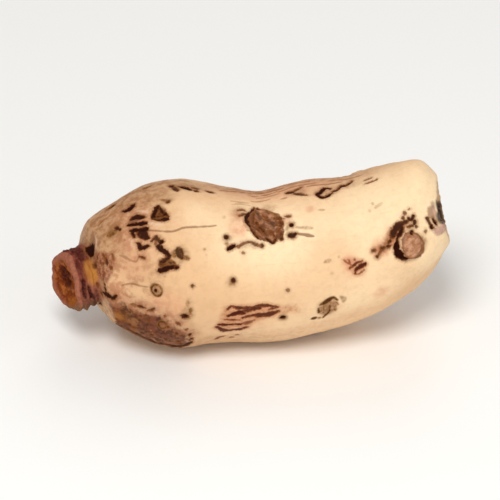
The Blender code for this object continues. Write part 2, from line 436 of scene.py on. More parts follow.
def line(width, tone, *places):
    """A stroke with its places written one after another."""
    return Stroke(width, tone, places)


def dot(size, tone, along, around):
    """A round blot."""
    return Blot(size, size, tone, along, around)


def dots(*rows):
    """Dots, each given as its size, tone and place."""
    return tuple(dot(*row) for row in rows)


def ovals(*rows):
    """Ovals, each given as its length, width, tone and place, and its turn where it has one."""
    return tuple(Blot(*row) for row in rows)


def patch(tone, *corners):
    """A patch with its corners written one after another."""
    return Patch(tone, corners)


def ring(size, width, tone, along, around):
    """A line round a circle of skin of the size given in mm."""
    radius = float(np.interp(along, OUTLINE[:, 0], OUTLINE[:, 1]))
    places = []
    for step in range(RING_STEPS + 1):
        angle = 2 * math.pi * step / RING_STEPS
        across = math.degrees(size / 2 * math.sin(angle) / radius)
        places.append((along + size / 2 * math.cos(angle), around + across))
    return Stroke(width, tone, tuple(places))


RING_STEPS = 12

# Dark remains of skin in pits.
FLECKS = (
    # The group by the neck.
    line(1.1, 0.8, (20.3, -16), (21.8, -15), (23.2, -15)),
    line(1, 0.5, (25.8, -24), (27.8, -22)),
    line(1.2, 0.45, (32.3, -17), (34, -16)),
    patch(1, (24.6, 1.2), (26.5, 1.6), (27.8, -0.6), (28.9, -0.2), (28.8, 3.6), (27, 6.2), (25.3, 4.8)),
    patch(
        0.95, (26.9, 13.6), (28.9, 12.2), (30.2, 14.6), (31.6, 18.6),
        (30.2, 20), (28, 17.4), (26.4, 16.4),
    ),
    line(1.7, 1, (25.6, 19.9), (28, 22), (31.2, 24.2)),
    line(1.9, 1, (26, 26.2), (28.3, 28), (31.2, 29.6)),
    line(1.5, 0.95, (26.5, 27), (26.6, 30), (27, 33.2)),
    patch(0.9, (27.6, 29), (31, 30.4), (31.4, 34), (32, 38.4), (30.2, 38.6), (28.6, 35.6), (27.8, 33)),
    patch(
        0.95, (27.2, 38.6), (28.6, 39.4), (28.9, 42.2), (31.3, 42.6),
        (31.9, 44.2), (30, 46), (27.9, 45.4),
    ),
    line(1, 0.8, (27.7, 50.3), (29.5, 52.6)),
    line(1.4, 0.75, (21.4, 16.3), (22.6, 20.2)),
    dot(1.3, 0.9, 22.7, 20.6),
    # The hole at the neck, painted black for the shade inside it.
    Blot(3.5, 5.6, 1, 10.6, 12),
    # The cup's edges, and the spot above it.
    line(1.5, 0.95, (35.8, 11.5), (34.2, 15.5), (33.2, 21.8)),
    line(1.6, 0.95, (33.2, 22.3), (35.5, 23.8), (38.4, 24.7)),
    line(1.3, 0.8, (36, 13.5), (37.2, 18.5), (38.7, 22.5)),
    line(1, 0.8, (34.7, 18.8), (36.8, 19.5)),
    dot(1.7, 0.6, 39, 9.5),
    # The small star and the large one.
    line(1.3, 0.75, (32.4, 40.3), (34, 38), (34.9, 41), (36.1, 42.2)),
    Blot(1.9, 1.6, 1, 35.8, 42),
    line(0.9, 0.5, (33.9, 40.5), (33.9, 44)),
    line(1.8, 0.95, (34.5, 45), (36.5, 48.5), (38.6, 52.5)),
    line(1.5, 0.85, (38.7, 52.5), (37.2, 55), (35.2, 56.6)),
    line(1.2, 0.7, (34.8, 58.7), (36, 58)),
    line(1.7, 1, (34.8, 62.3), (36.5, 61.6), (38.4, 60.4), (41, 60.2)),
    Blot(2.3, 1.7, 1, 35.2, 62.2),
    Blot(1.7, 1.6, 1, 41, 60.2),
    # Along the top edge.
    dot(2, 0.85, 40.5, -9.5),
    line(1.7, 0.75, (41.3, -6.8), (42.5, -1.5)),
    line(2, 1, (43.2, -8), (44.4, -7.2), (46.9, -4.6)),
    line(1.4, 0.6, (47.6, -8.3), (49.3, -8)),
    dot(1.9, 0.8, 48.7, -3.8),
    line(2, 0.75, (52.3, -6.8), (54.2, -4.9)),
    line(1.6, 0.9, (87.2, -3.5), (90.3, -2.8)),
    line(1.1, 0.7, (90.6, -3.5), (92.8, -6), (94.2, -8)),
    line(1.1, 0.65, (90.8, -0.5), (93, 1.5), (95.4, 4.4)),
    line(1.2, 1, (98.4, 4.3), (99.1, 6.6), (100.1, 8.8), (101.6, 8.7), (102.8, 6.9), (104.2, 4.6)),
    line(1.4, 1, (98.4, 4.3), (99.8, 3.2), (100.8, -0.3), (102, -2.3), (103.8, -0.9)),
    line(1.1, 0.85, (104.6, 3), (107.2, 0.8), (109, -2), (111.5, -2.4), (114.2, -4.2), (115.8, -6.8)),
    line(0.9, 0.55, (120.1, 2.7), (121.8, 2.7), (123.5, 2.5)),
    line(0.8, 0.45, (120.2, -2), (122.2, -2.6)),
    # The torn bud's edges and the dark places in it.
    line(1.3, 0.95, (69.2, 9.8), (67.9, 13.5), (66, 18), (65.5, 21.3), (66, 24.2), (67.2, 28.2)),
    line(1, 0.85, (67.2, 28.2), (68.3, 31.2), (69.4, 33.5), (71.1, 36.9)),
    line(0.8, 0.7, (80.3, 21), (82.2, 22.6), (84.2, 23.6)),
    line(0.7, 0.6, (80.8, 27.6), (82.6, 29)),
    line(0.7, 0.6, (74.6, 16), (76.6, 20), (78, 24)),
    line(0.7, 0.5, (70.6, 26), (72, 30), (74, 34.6)),
    line(0.7, 0.55, (79, 34), (79.6, 37.4)),
    line(0.8, 0.6, (69, 15.8), (69.1, 24.3)),
    dot(1.2, 0.75, 71.2, 22.3),
    Blot(1.5, 1.2, 0.5, 72, 11),
    line(1.1, 0.65, (72.2, 25.5), (74, 29.6), (75.6, 33.2)),
    line(1.4, 0.5, (77.5, 31.5), (78.8, 33)),
    line(1.1, 0.8, (76, 37.5), (77.2, 39.5), (78.2, 41.3), (79.8, 38)),
    line(1.3, 0.6, (82.2, 25.2), (83.4, 27.5)),
    line(0.9, 0.6, (82, 30.5), (80.9, 33.5)),
    line(1, 0.45, (82.4, 33.5), (81.6, 37)),
    dot(1.5, 0.7, 82, 39.5),
    line(0.9, 0.55, (62.7, 14.4), (64, 13.4), (65.2, 15.2)),
    line(1.1, 0.6, (63.2, 19.6), (64.9, 17.3)),
    # Right of it and below it.
    line(0.9, 0.7, (84.8, 21.5), (86.9, 22)),
    dot(1.7, 1, 86.8, 29.8),
    line(1.7, 0.9, (84.8, 38), (86.2, 38.7), (87.9, 37.4)),
    line(1.6, 1, (59.8, 46.4), (60.8, 44.8), (61.9, 43.6)),
    line(1, 0.6, (61.9, 43.8), (63.2, 44), (64.7, 41.4), (67, 40), (68.6, 40.8), (70.3, 42.4), (73.2, 43)),
    dot(1.5, 0.75, 73.2, 43),
    Blot(1.6, 1.2, 0.6, 70, 42),
    # Single dots.
    *dots(
        (1.7, 0.85, 59.1, 37.3), (1.1, 0.35, 64.8, 48.8), (1.9, 0.85, 61.7, 69), (1.2, 0.65, 47.2, 73),
    ),
    Blot(2.7, 1.8, 0.95, 44.3, 96.8),
    Blot(1.9, 1.6, 1, 78.3, 103.3),
    dot(1.2, 1, 32.6, 77.8),
    dot(1.4, 0.35, 81.4, 79),
    # The crescent left of the bud's disc, its arm and its tail.
    line(1.7, 0.95, (126.3, 55.5), (125.5, 58.8), (124, 62.2), (123.3, 65.8)),
    line(2.3, 1, (123.3, 65.8), (122.6, 69.7), (122.5, 74.4), (123, 79.8), (124.6, 85)),
    line(2.3, 0.85, (128.2, 51.2), (126.5, 51.5), (124.9, 53.4), (123.5, 56), (122.4, 59.5)),
    line(1.5, 0.7, (121.8, 61), (120.8, 63.5)),
    line(0.9, 0.4, (122.9, 52.5), (124, 54)),
    Blot(1.8, 1.2, 0.85, 120.4, 66),
    line(1.4, 0.65, (117.6, 65.2), (119, 66)),
    line(0.9, 0.55, (115.8, 69.5), (116.6, 68.5), (118, 66)),
    Blot(1.7, 1.3, 0.75, 115.1, 64.5),
    dot(1.3, 0.7, 115.4, 70.2),
    # The specks above it.
    dot(1.3, 0.55, 128.4, 43.5),
    line(0.8, 0.45, (129.6, 41.4), (130, 40.6)),
    dot(1.2, 0.7, 127.4, 47.4),
    line(1.3, 0.9, (128.9, 48.6), (129.5, 50.7), (130.6, 47.8)),
    line(1.3, 0.85, (130.2, 55), (130.8, 52.5)),
    dot(1.1, 0.6, 130.5, 58.3),
    line(1.1, 0.8, (128, 56), (129.6, 56.4)),
    dot(1.3, 0.85, 128.8, 62.3),
    dot(1.4, 0.45, 132.8, 66),
    # The broken end's dark wall and slits: dark skin, with painted shade in its crevices.
    line(1.1, 0.75, (134.2, 53.5), (134.5, 56), (134.7, 59), (134.9, 62.5)),
    Blot(1.9, 1.8, 0.95, 135.1, 63.6),
    line(1.6, 1, (135.9, 56), (136.2, 59), (136.7, 62.4)),
    # In the left-on skin and below the neck.
    line(0.9, 0.7, (25, 94), (27.8, 95)),
    line(1, 0.6, (28.6, 97), (30, 96), (31.6, 93)),
    line(0.9, 0.35, (22.4, 93), (24.4, 93.3)),
    *dots(
        (1.2, 0.5, 25.7, 104), (1.3, 0.5, 28, 101.5), (1.5, 0.6, 29, 106), (1.2, 0.5, 36.2, 99),
    ),
    line(1.1, 0.5, (41, 103), (42.5, 105.5)),
    *dots(
        (1.6, 0.8, 46.9, 116), (1.4, 0.7, 47.8, 122), (1.6, 0.6, 42.3, 125), (1.3, 0.5, 41.3, 114),
        (1.7, 0.6, 30.6, 122), (1.5, 0.55, 20.8, 120), (1, 0.7, 37.7, 108),
    ),
    line(3.2, 0.85, (20, 134), (27, 137), (36, 138), (44, 135), (47.5, 128)),
    line(1.6, 0.9, (9.8, 128), (10.4, 150), (10, 172)),
    # The bud by the neck and the branching mark below it.
    dot(2, 0.55, 11, 42),
    line(1, 0.5, (12.4, 33), (12.4, 38)),
    line(0.9, 0.5, (14.4, 37), (14.6, 41.5)),
    dot(1.1, 0.5, 13.7, 47),
    line(1.1, 0.65, (15, 43), (15, 50)),
    dot(1.4, 0.5, 16, 54),
    line(0.9, 0.35, (17.6, 41), (17.5, 47)),
    dot(1.3, 0.75, 12.6, 73),
    line(1.2, 0.6, (10, 72), (10.1, 80)),
    dot(1.5, 0.85, 12.6, 84),
    Blot(1.9, 1.8, 0.8, 12.6, 79),
    line(1.4, 0.85, (12.8, 84.5), (14.6, 86.5)),
    line(1.4, 0.95, (11.6, 89.5), (13.8, 88), (15, 88.5), (16.4, 84.5)),
    line(1.2, 0.7, (11, 92), (11.2, 98)),
)

# Brown and olive marks with soft edges.
STAINS = (
    line(2.2, 0.6, (17.8, 20.5), (19.5, 20.3), (22, 19)),
    patch(0.9, (35.6, 11.5), (38.8, 21.5), (38.6, 24.5), (33.2, 23), (33.8, 16)),
    line(1.6, 0.5, (36.6, 5.5), (37.6, 7), (39, 9.2)),
    line(3.4, 1, (41.9, 48), (42.3, 51), (42.9, 53.6)),
    line(2.4, 0.6, (43.2, 53), (45.4, 54.4)),
    line(1.8, 0.6, (40.4, 49.4), (40.4, 52.8)),
    patch(0.85, (34.8, 57.6), (38.4, 53.8), (40.6, 56.2), (41.4, 59.6), (38, 60.8), (35, 61.6)),
    # Thin dark lines along the top edge: brown stain, with painted shadow along that edge.
    line(1.4, 0.45, (43, -22), (47, -20)),
    line(1, 0.4, (53, -27), (55, -26)),
    line(1.2, 0.5, (61.5, -29), (64.5, -29)),
    ring(4.6, 1.1, 0.75, 32.8, 77.5),
    line(1.5, 0.5, (76.5, 12.4), (79.6, 16.5), (82.3, 19.8)),
    dot(1.8, 0.45, 59.1, 42.3),
    line(1.5, 0.6, (46.7, 90.5), (46.4, 94.5)),
    line(1.3, 0.4, (45.3, 84.6), (45.4, 88)),
    # The grey-brown arch.
    line(1.5, 0.9, (90.9, 96), (92.8, 94.7), (95.9, 93.5), (97.1, 97)),
    line(1.3, 0.9, (89.9, 99.5), (89.7, 104)),
    line(1.4, 0.8, (93.8, 100), (93.2, 106), (91.6, 109.5), (90.6, 112)),
    line(1.7, 0.55, (95.4, 101), (95.4, 108)),
    line(0.9, 0.7, (91.8, 97.5), (91.6, 102), (91, 106)),
    line(0.9, 0.6, (96.4, 98), (97, 102.5)),
    Blot(2.4, 1.8, 0.85, 87.9, 109.5),
    dot(1.6, 0.6, 89.5, 111),
    line(2.2, 0.4, (98.2, 94.5), (99.4, 98), (99.2, 101)),
    patch(0.4, (89.2, 104), (90.4, 98), (93, 95.5), (96.2, 95), (97.2, 101), (95, 107), (91.4, 111)),
    # Left of the red speck.
    line(1.2, 0.4, (95.7, 63), (98, 62.5)),
    dot(1.1, 0.4, 101, 61.5),
    dot(1.3, 0.25, 97.3, 72.5),
    # The left-on skin's ring.
    ring(3.4, 0.9, 0.8, 35.3, 107),
    dot(1.6, 0.7, 45.2, 109.5),
    # Below the scar on the right, and faint smudges.
    line(1.3, 0.4, (88.6, 32.5), (91, 34), (94.5, 36)),
    *dots(
        (1.6, 0.35, 84.5, 32.5), (1.3, 0.4, 51.5, 47.4), (0.9, 0.3, 52.2, 51.3), (1.6, 0.3, 58.1, 21.5),
        (1, 0.4, 66, 31.3), (1.2, 0.35, 60.7, 71.5),
    ),
    line(1, 0.35, (98, 21.3), (100, 21.8)),
    line(1.6, 0.3, (120.8, 31.5), (122.8, 29.5)),
    *dots(
        (1.5, 0.3, 120.5, 27), (1.4, 0.3, 118.8, 32.5), (1.3, 0.3, 36.5, 66.5), (1.2, 0.3, 23.6, 33),
        (1.6, 0.35, 30.4, 6), (1.4, 0.3, 33, 3), (1.5, 0.35, 17, 12), (1.3, 0.35, 24.5, 12),
    ),
)

# Wider brown shading with very soft edges.
SHADES = (
    *ovals(
        (6, 4.2, 0.85, 38, 57.6), (6, 6.2, 0.7, 42.4, 51.5), (5, 4.6, 0.45, 32.8, 77.5),
        (3.6, 3.6, 0.6, 61.4, 70.2), (3.4, 3.4, 0.6, 59.4, 38.4), (4.8, 6.4, 0.75, 45.4, 95),
        (2.2, 3.6, 0.5, 45.8, 86), (7, 8, 0.6, 92.6, 101.5), (4.6, 4.2, 0.6, 36, 19),
        (5, 4.4, 0.7, 20, 19), (3.6, 2.6, 0.5, 39, 8.5), (3.4, 3.2, 0.55, 78.3, 103.3),
        (7, 4, 0.5, 92, -2), (9, 4.4, 0.5, 101.5, 3), (10, 3, 0.45, 110, -1.5),
        (13, 6, 0.6, 46, -8), (4, 3.6, 0.4, 86.4, 29.8), (4.4, 3.6, 0.45, 86, 38),
        (9, 3.2, 0.35, 66.5, 42.5),
    ),
    line(2.6, 0.7, (117.5, 66), (120, 63), (122, 59), (124.5, 54)),
    Blot(5, 7, 0.4, 29, 28),
    Blot(3.5, 4, 0.4, 34.5, 41),
    line(1.6, 0.85, (130.2, 66), (131.3, 70), (131.9, 76), (131.2, 82), (129, 86.4), (126, 87)),
    Blot(5, 5, 0.4, 128.5, 56),
)
# The ground between the red-brown streaks.
STREAK_GROUND = (
    patch(
        0.8, (59, 90), (65, 88.5), (72, 88), (78, 91), (78, 99),
        (70, 105), (68, 113), (61, 117), (56, 112), (58, 104),
    ),
    patch(0.75, (75, 91), (83, 92), (84, 99), (77, 100), (70, 99)),
    Blot(6, 6.5, 0.7, 106.8, 74),
    Blot(6, 5, 0.6, 117, 67),
    patch(1, (118.5, 65), (121, 58), (124, 52), (127.5, 49.5), (129, 53), (125.4, 60), (122.4, 67)),
)
# Flakes of pale skin.
FLAKES = (
    # A pale strip on the rim of the neck's hole: pale skin, with a painted highlight.
    line(0.9, 0.7, (13.4, 9), (13.3, 16), (12.6, 23)),
    line(1.9, 1, (9.2, 128), (9.6, 145), (10.4, 165)),
    line(1.2, 0.8, (12, 140), (12.6, 155)),
    line(0.9, 0.7, (29.2, 9.5), (30.6, 12.2), (32.4, 15.5)),
    line(0.9, 0.7, (32, 25.2), (34, 27.2), (36.6, 28.2)),
    line(0.9, 0.6, (25.2, 34), (26.2, 38), (26.6, 43)),
    line(0.8, 0.55, (85.4, 24.6), (87.6, 26.4)),
    line(0.9, 0.6, (61.2, 40.4), (63.4, 40.8), (65.6, 38.8)),
    Blot(1.5, 1.2, 0.7, 130.6, 61.4),
    Blot(1.6, 1.4, 0.7, 126.6, 43.6),
)
# Thin brown lines.
CRACKS = (
    line(
        0.9, 0.65, (31, 30.8), (33.5, 32.3), (35.5, 33.4), (37.9, 34.5), (39.9, 34.9), (41.7, 34.1),
        (43.5, 32.6), (46.1, 31.9), (49.2, 31.2), (51.6, 30.2), (55.4, 28.6),
    ),
    line(0.9, 0.45, (20.5, 45), (23, 49), (24.4, 52), (26.5, 53.8), (27.6, 50.6)),
    line(0.8, 0.55, (19, 74), (21, 73), (23.5, 73), (27, 75), (29.3, 75.5)),
    line(1.2, 0.75, (87.9, 37.2), (91, 39.6), (94.3, 42.3)),
    line(0.9, 0.4, (60.5, 4), (63.5, 5), (66.5, 4.4)),
    line(0.9, 0.4, (61, 8), (64, 7), (67, 7.4)),
    line(1, 0.5, (66, -9), (69, -8), (73, -9)),
    line(1.1, 0.5, (75.5, -10), (79.5, -9), (83, -9.5)),
    line(1, 0.5, (84.3, 2.5), (87, 2.4)),
    line(1.2, 0.6, (57, -12), (62, -13), (68, -14)),
    line(1.2, 0.6, (70, -16), (78, -15), (86, -13)),
    line(1.2, 0.55, (96, -8), (103, -8), (110, -9)),
    line(1, 0.45, (68, 1), (74, 0.5), (80, -1)),
    line(1.3, 0.55, (60, -20), (68, -21), (76, -20)),
    line(1.2, 0.55, (80, -22), (88, -20), (97, -17)),
    line(1.1, 0.5, (84, -8), (92, -11), (99, -12)),
    line(1, 0.5, (104, -14), (112, -13), (120, -13)),
    line(0.9, 0.45, (72, -5), (78, -5.5), (84, -5)),
    line(0.9, 0.35, (14.5, 2), (17, -2), (20.5, -3)),
)

# Red-brown streaks of skin.
STREAKS = (
    line(
        1.3, 0.8, (60.4, 91.5), (61.9, 89), (63.4, 90.3), (65.3, 91), (69, 91), (70.4, 90.2),
        (72, 89.8), (73.5, 90), (77, 92.5),
    ),
    line(1.5, 0.85, (66, 93.8), (68.8, 92.6), (71.4, 91.6)),
    line(1, 0.7, (74, 93.5), (76.4, 93.2)),
    line(2, 0.95, (60.8, 97.8), (62.5, 97), (64.5, 95.2), (66.4, 95.8)),
    line(1.2, 0.75, (65.6, 100.5), (67, 99.5), (69, 98)),
    line(2, 0.85, (69, 98), (72, 98.7), (74.5, 98.3), (77, 96.5)),
    line(1, 0.6, (59.6, 102), (62.4, 102.2), (65.3, 102.8)),
    line(1.4, 0.9, (57.8, 107.5), (60.2, 108), (62.8, 107.7), (66, 107.3)),
    line(1.3, 0.5, (66.4, 106.9), (68, 106), (69.8, 103.5)),
    line(1.8, 0.85, (57.3, 110.5), (59, 114), (60.8, 116.5), (62.8, 116), (66, 114.3), (67.8, 112)),
    line(1.4, 0.7, (57.3, 132), (58.9, 127), (60.5, 126)),
    dot(1.6, 0.6, 63.3, 131),
    dot(1.4, 0.4, 65.2, 126),
    # The red speck's group.
    line(1.2, 0.6, (104.2, 66), (104.4, 68.6)),
    dot(1, 0.55, 106.3, 67),
    line(1, 0.8, (103.7, 72.7), (105.7, 71), (107, 69.6), (109.2, 69.7)),
    line(1.2, 0.95, (105.4, 78.7), (105.9, 75.6), (107.5, 73.8), (110.2, 72.5)),
    line(0.8, 0.6, (109, 77.5), (107.5, 79), (106, 79.5)),
    line(1, 0.5, (102.4, 64.6), (103.2, 67.2), (104.6, 70)),
)

# Skin that was left on.
LEFT_SKIN = (
    patch(
        1, (12.8, 103), (19, 97), (24.5, 97.5), (29.4, 97), (34.8, 99), (39, 101), (44, 107),
        (47, 114), (49.3, 126), (48, 140), (42, 150), (30, 153), (20, 151), (13.5, 142),
    ),
    line(8, 1, (61, 281), (70, 276), (79, 280)),
    line(9, 1, (16, 255), (27, 248), (38, 262)),
    line(7, 1, (104, 196), (118, 205), (127, 200)),
)

# Where the skin tore off with a bud, and the round faces that buds left.
TORN_SKIN = (
    patch(
        1, (69, 10), (72, 9), (76, 11.5), (79.5, 15), (82.5, 19.5), (84, 26), (83.6, 31), (82.6, 39),
        (79, 42.5), (76, 40), (73, 39), (71, 37), (69, 33), (67, 28), (65.6, 21.5), (66.5, 17), (68, 13.5),
    ),
    patch(1, (45, 293), (50, 285), (57, 287), (60, 296), (58, 306), (52, 312), (46, 305)),
)
TORN_LIGHT = (
    Blot(2.2, 1.6, 1, 73.4, 22),
    line(1, 1, (70.5, 31), (72, 33)),
    line(1, 1, (73, 34), (74.5, 36)),
    line(1, 1, (77, 37), (78, 38.3)),
    line(1.4, 0.8, (72, 13.5), (75, 14.5), (78.5, 18.5)),
    line(1.1, 0.8, (75.5, 22), (77.5, 27), (79.4, 30.5)),
    line(1, 0.7, (70.3, 17), (71.4, 19.5)),
    line(1.1, 0.8, (48, 291), (51, 300), (55, 306)),
)
DISCS = (
    Blot(8.9, 11.6, 1, 128, 75.4, -8),
    Blot(11.6, 9.2, 1, 101, 236, 15),
)
LENS = Blot(3.6, 4.9, 1, 135.9, 48.5)
LENS_LIGHT = Blot(1.5, 4.2, 1, 136.8, 47.5)
CAP = patch(
    1, (134.6, 66.2), (136.4, 66), (138.6, 66.4), (139.8, 69),
    (139.6, 74), (138, 77.6), (136, 76), (134.8, 71),
)
# Painted shade in the broken end's hollow, over its own dark brown: along its lip and down its far wall.
HOLLOW_SHADE_MARKS = (
    Blot(9, 12, 1, 141.6, 50),
    Blot(6, 9, 0.9, 142.2, 85),
    line(2.6, 1, (139, 36), (138.9, 44), (138.9, 50)),
    line(3.4, 1, (138.7, 50), (138.3, 57), (138.9, 64), (139.8, 72)),
)
MAUVE_LUMPS = ovals((2, 3, 0.6, 137, 40.5), (1.8, 2.8, 0.8, 136.6, 61.5), (4.5, 2.2, 0.9, 27.8, 18))

# Soft tints, each strongest at its middle and gone past its edge: its length, width, strength, and place.
# The pale and warm tints are partly the skin's own tone and partly painted light: paler where the light
# falls full on it, warmer towards the edges that turn from the light.
PALE_AND_LIT_TINTS = ovals(
    (62, 36, 1, 78, 38), (44, 34, 0.9, 119, 30), (44, 30, 0.65, 112, 72), (18, 40, 1, 138, 40),
    (20, 26, 0.9, 134, 100), (40, 14, 0.6, 108, 104), (64, 34, 0.7, 84, 116), (16, 16, 0.8, 47, 22),
    (30, 24, 0.7, 90, 200), (24, 20, 0.6, 112, 280),
)
WARM_AND_SHADED_TINTS = ovals(
    (40, 16, 0.5, 72, 96), (60, 16, 0.7, 78, -14), (16, 20, 0.7, 34, 92), (22, 18, 0.6, 30, 34),
    (22, 22, 0.6, 26, 66), (22, 20, 0.6, 99, 63), (50, 40, 0.6, 60, 230), (40, 30, 0.6, 100, 320),
)
PINK_TINTS = ovals(
    (7, 11, 1, 63.2, 29), (5, 6, 0.9, 63, 20), (17, 34, 1, 27, 26), (5, 6, 0.8, 85, 24),
    (9, 7, 0.9, 118.5, 64), (8, 8, 0.6, 105, 72), (5, 5, 0.7, 103.4, 67), (22, 15, 0.5, 66, 102),
    (18, 12, 0.7, 37, 88), (14, 12, 0.6, 24, 58), (70, 18, 1, 84, -14), (4, 4, 0.8, 95.3, 19),
    (9, 9, 0.7, 94, 103), (6, 5, 0.8, 112.5, 105), (10, 14, 0.8, 16, 84), (50, 9, 0.4, 88, 124),
    (26, 22, 0.7, 52, 298), (24, 22, 0.7, 101, 236), (40, 24, 0.6, 70, 200),
)
# The tan at the neck and the wide tan along the underside are partly painted shade.
TAN_AND_SHADE_TINTS = ovals(
    (16, 28, 1, 15, 4), (22, 18, 1, 24, -14), (24, 14, 0.9, 38, -18), (12, 14, 0.8, 21, 16),
    (18, 11, 0.8, 33, 0), (12, 16, 0.6, 18, 34), (30, 12, 0.6, 62, -20), (10, 14, 0.7, 15, 92),
    (60, 12, 0.7, 80, -20), (34, 12, 0.6, 112, -18), (8, 5, 0.7, 78, 11), (6, 7, 0.5, 62.5, 17),
    (80, 18, 0.4, 52, 136), (17, 26, 0.3, 25, 26), (20, 16, 0.2, 28, 64), (34, 30, 0.8, 30, 300),
    (20, 30, 0.9, 18, 210), (50, 24, 0.5, 88, 290), (30, 30, 0.5, 130, 240),
)
SALMON_TINTS = (Blot(4.5, 6, 0.6, 104.2, 68), Blot(5, 7, 0.7, 122.5, 60), Blot(6, 4, 0.6, 117, 66))
YELLOW_TINTS = (
    patch(
        1, (6.4, 30), (8, 26), (10.6, 28), (11.2, 45), (11.5, 62),
        (10.6, 71), (7.6, 73), (5.6, 62), (5.2, 44),
    ),
    Blot(3.4, 4, 0.8, 16, 113),
)
GROOVES_AND_STUB_SHADE = (
    line(2, 1, (3.5, 56), (3.6, 70), (3.6, 82), (3.7, 94)),
    line(1.7, 0.5, (3.4, 18), (3.5, 36), (3.5, 56)),
    line(1.4, 0.5, (3.7, 94), (4, 112), (4, 128)),
    line(2, 1, (5.9, 73), (6.1, 84), (6.4, 98), (6.8, 112)),
    line(1.5, 0.7, (6.8, 112), (7, 125), (7, 140)),
    line(1.3, 0.6, (8.8, 84), (8.8, 100), (8.8, 116)),
    # Painted shadow over the top of the stub, on its own maroon.
    patch(0.75, (3.4, -70), (8.8, -70), (9, -20), (8.4, 8), (7, 24), (5, 26), (3.6, 10), (3.2, -30)),
    line(1.5, 0.8, (3.4, 150), (3, 200), (3.4, 250), (3.2, 290)),
    line(1.6, 0.8, (6.2, 160), (6.6, 215), (6, 270), (6.2, 295)),
    line(1.2, 0.7, (8.6, 180), (8.9, 220), (8.4, 260)),
)
BUD_TINTS = (
    patch(
        1, (11, 36), (12.5, 31), (15, 35), (18.4, 41), (18.6, 48), (17.4, 56), (15.6, 64), (13.7, 70),
        (12, 66), (11, 56), (10.8, 44),
    ),
    line(2.4, 0.6, (10.6, 76), (11.4, 86), (11.2, 96)),
)
VEIL_TINTS = (
    patch(
        0.75, (12, 92), (18, 87), (27, 88), (36, 92), (43, 97),
        (48, 106), (51, 118), (47, 122), (14, 112),
    ),
)
RUST_TINTS = (Blot(3.6, 3, 1, 22.3, 122), Blot(7, 8, 0.6, 16.5, 113), Blot(5, 3.4, 0.6, 16, 121))

STROKE_STEP, STROKE_END = 0.8, 0.6
STROKE_UNEVEN, STROKE_LUMPS = 0.3, 2.2
FAR = 4.0
SHORTEST_RUN = 1e-9
TINT_FALL, TINT_POWER = 1.4, 1.5


def distance_to_run(places, start, end):
    """How far places are from a straight run, and where along it, from 0 to 1, they come nearest."""
    run = end - start
    offset = places - start
    share = np.clip(offset @ run / max(run @ run, SHORTEST_RUN), 0, 1)
    return np.linalg.norm(offset - share[:, None] * run, axis=1), share


def stroke_distance(stroke, skin):
    """The signed distance to a stroke's edge in mm, negative inside it, and FAR well away from it."""
    points = skin.points
    stations = lengths_along(places_on_skin(stroke.places))
    count = max(2, int(stations[-1] / STROKE_STEP) + 2)
    at = np.linspace(0, stations[-1], count)
    line = places_on_skin(smooth(stations, np.array(stroke.places, float), at))
    ends = np.abs(np.linspace(-1, 1, count)) ** 3
    uneven = 1 + STROKE_UNEVEN * lumps_at(line, STROKE_LUMPS)
    half_widths = stroke.width / 2 * (1 - (1 - STROKE_END) * ends) * uneven
    found = np.full(len(points), FAR)
    reach = FAR + stroke.width / 2 + STROKE_STEP
    middle = line.mean(axis=0)
    spread = np.linalg.norm(line - middle, axis=1).max()
    near = np.nonzero(np.linalg.norm(points - middle, axis=1) < spread + reach)[0]
    for start, end, first, last in zip(line, line[1:], half_widths, half_widths[1:]):
        distance, share = distance_to_run(points[near], start, end)
        found[near] = np.minimum(found[near], distance - (first + (last - first) * share))
    return found


def blot_distance(blot, skin):
    """The signed distance to an oval's edge in mm, negative inside it, and FAR well away from it."""
    lengthwise, crosswise, off_plane = oval_distance(blot, skin.points)
    distance = (np.hypot(lengthwise, crosswise) - 1) * min(blot.length, blot.width) / 2
    return np.where(off_plane < max(blot.length, blot.width) / 2 + 1, np.minimum(distance, FAR), FAR)


def unrolled(skin, along, around):
    """How far the skin's places are from another, in mm lengthwise and round the body."""
    return skin.along - along, skin.radius * wrapped(skin.around - math.radians(around))


def patch_distance(area, skin):
    """The signed distance to a patch's sides in mm, negative inside it, and FAR well away from it."""
    corners = np.array(area.corners, float)
    along, around = corners.mean(axis=0)
    lengthwise, crosswise = unrolled(skin, along, around)
    radius = float(np.interp(along, OUTLINE[:, 0], OUTLINE[:, 1]))
    sides = np.stack([corners[:, 0] - along, np.radians(corners[:, 1] - around) * radius], 1)
    spread = np.linalg.norm(sides, axis=1).max()
    found = np.full(len(lengthwise), FAR)
    near = np.nonzero(np.hypot(lengthwise, crosswise) < spread + FAR)[0]
    places = np.stack([lengthwise[near], crosswise[near]], 1)
    distance = np.full(len(near), FAR)
    within = np.zeros(len(near), bool)
    for start, end in zip(sides, np.roll(sides, -1, axis=0)):
        distance = np.minimum(distance, distance_to_run(places, start, end)[0])
        crosses = (start[1] > places[:, 1]) != (end[1] > places[:, 1])
        rise = end[1] - start[1]
        level = (places[:, 1] - start[1]) / (rise if abs(rise) > SHORTEST_RUN else SHORTEST_RUN)
        within ^= crosses & (places[:, 0] < start[0] + level * (end[0] - start[0]))
    found[near] = np.where(within, -distance, distance)
    return found


MEASURES = {Stroke: stroke_distance, Blot: blot_distance, Patch: patch_distance}


def marks_distance(marks, skin):
    """The signed distance to the nearest of the marks, in mm."""
    return nearest_mark(marks, skin)[0]


def nearest_mark(marks, skin):
    """The signed distance to the nearest of the marks, in mm, and that mark's tone."""
    found, tones = np.full(len(skin.points), FAR), np.zeros(len(skin.points))
    for mark in marks:
        distance = MEASURES[type(mark)](mark, skin)
        nearer = distance < found
        found[nearer], tones[nearer] = distance[nearer], mark.tone
    return found, tones


def soft_marks(marks, skin, soft):
    """How strong marks with soft edges are, from 0 to 1."""
    found = np.zeros(len(skin.points))
    for mark in marks:
        found = np.maximum(found, mark.tone * inside(MEASURES[type(mark)](mark, skin), soft))
    return found


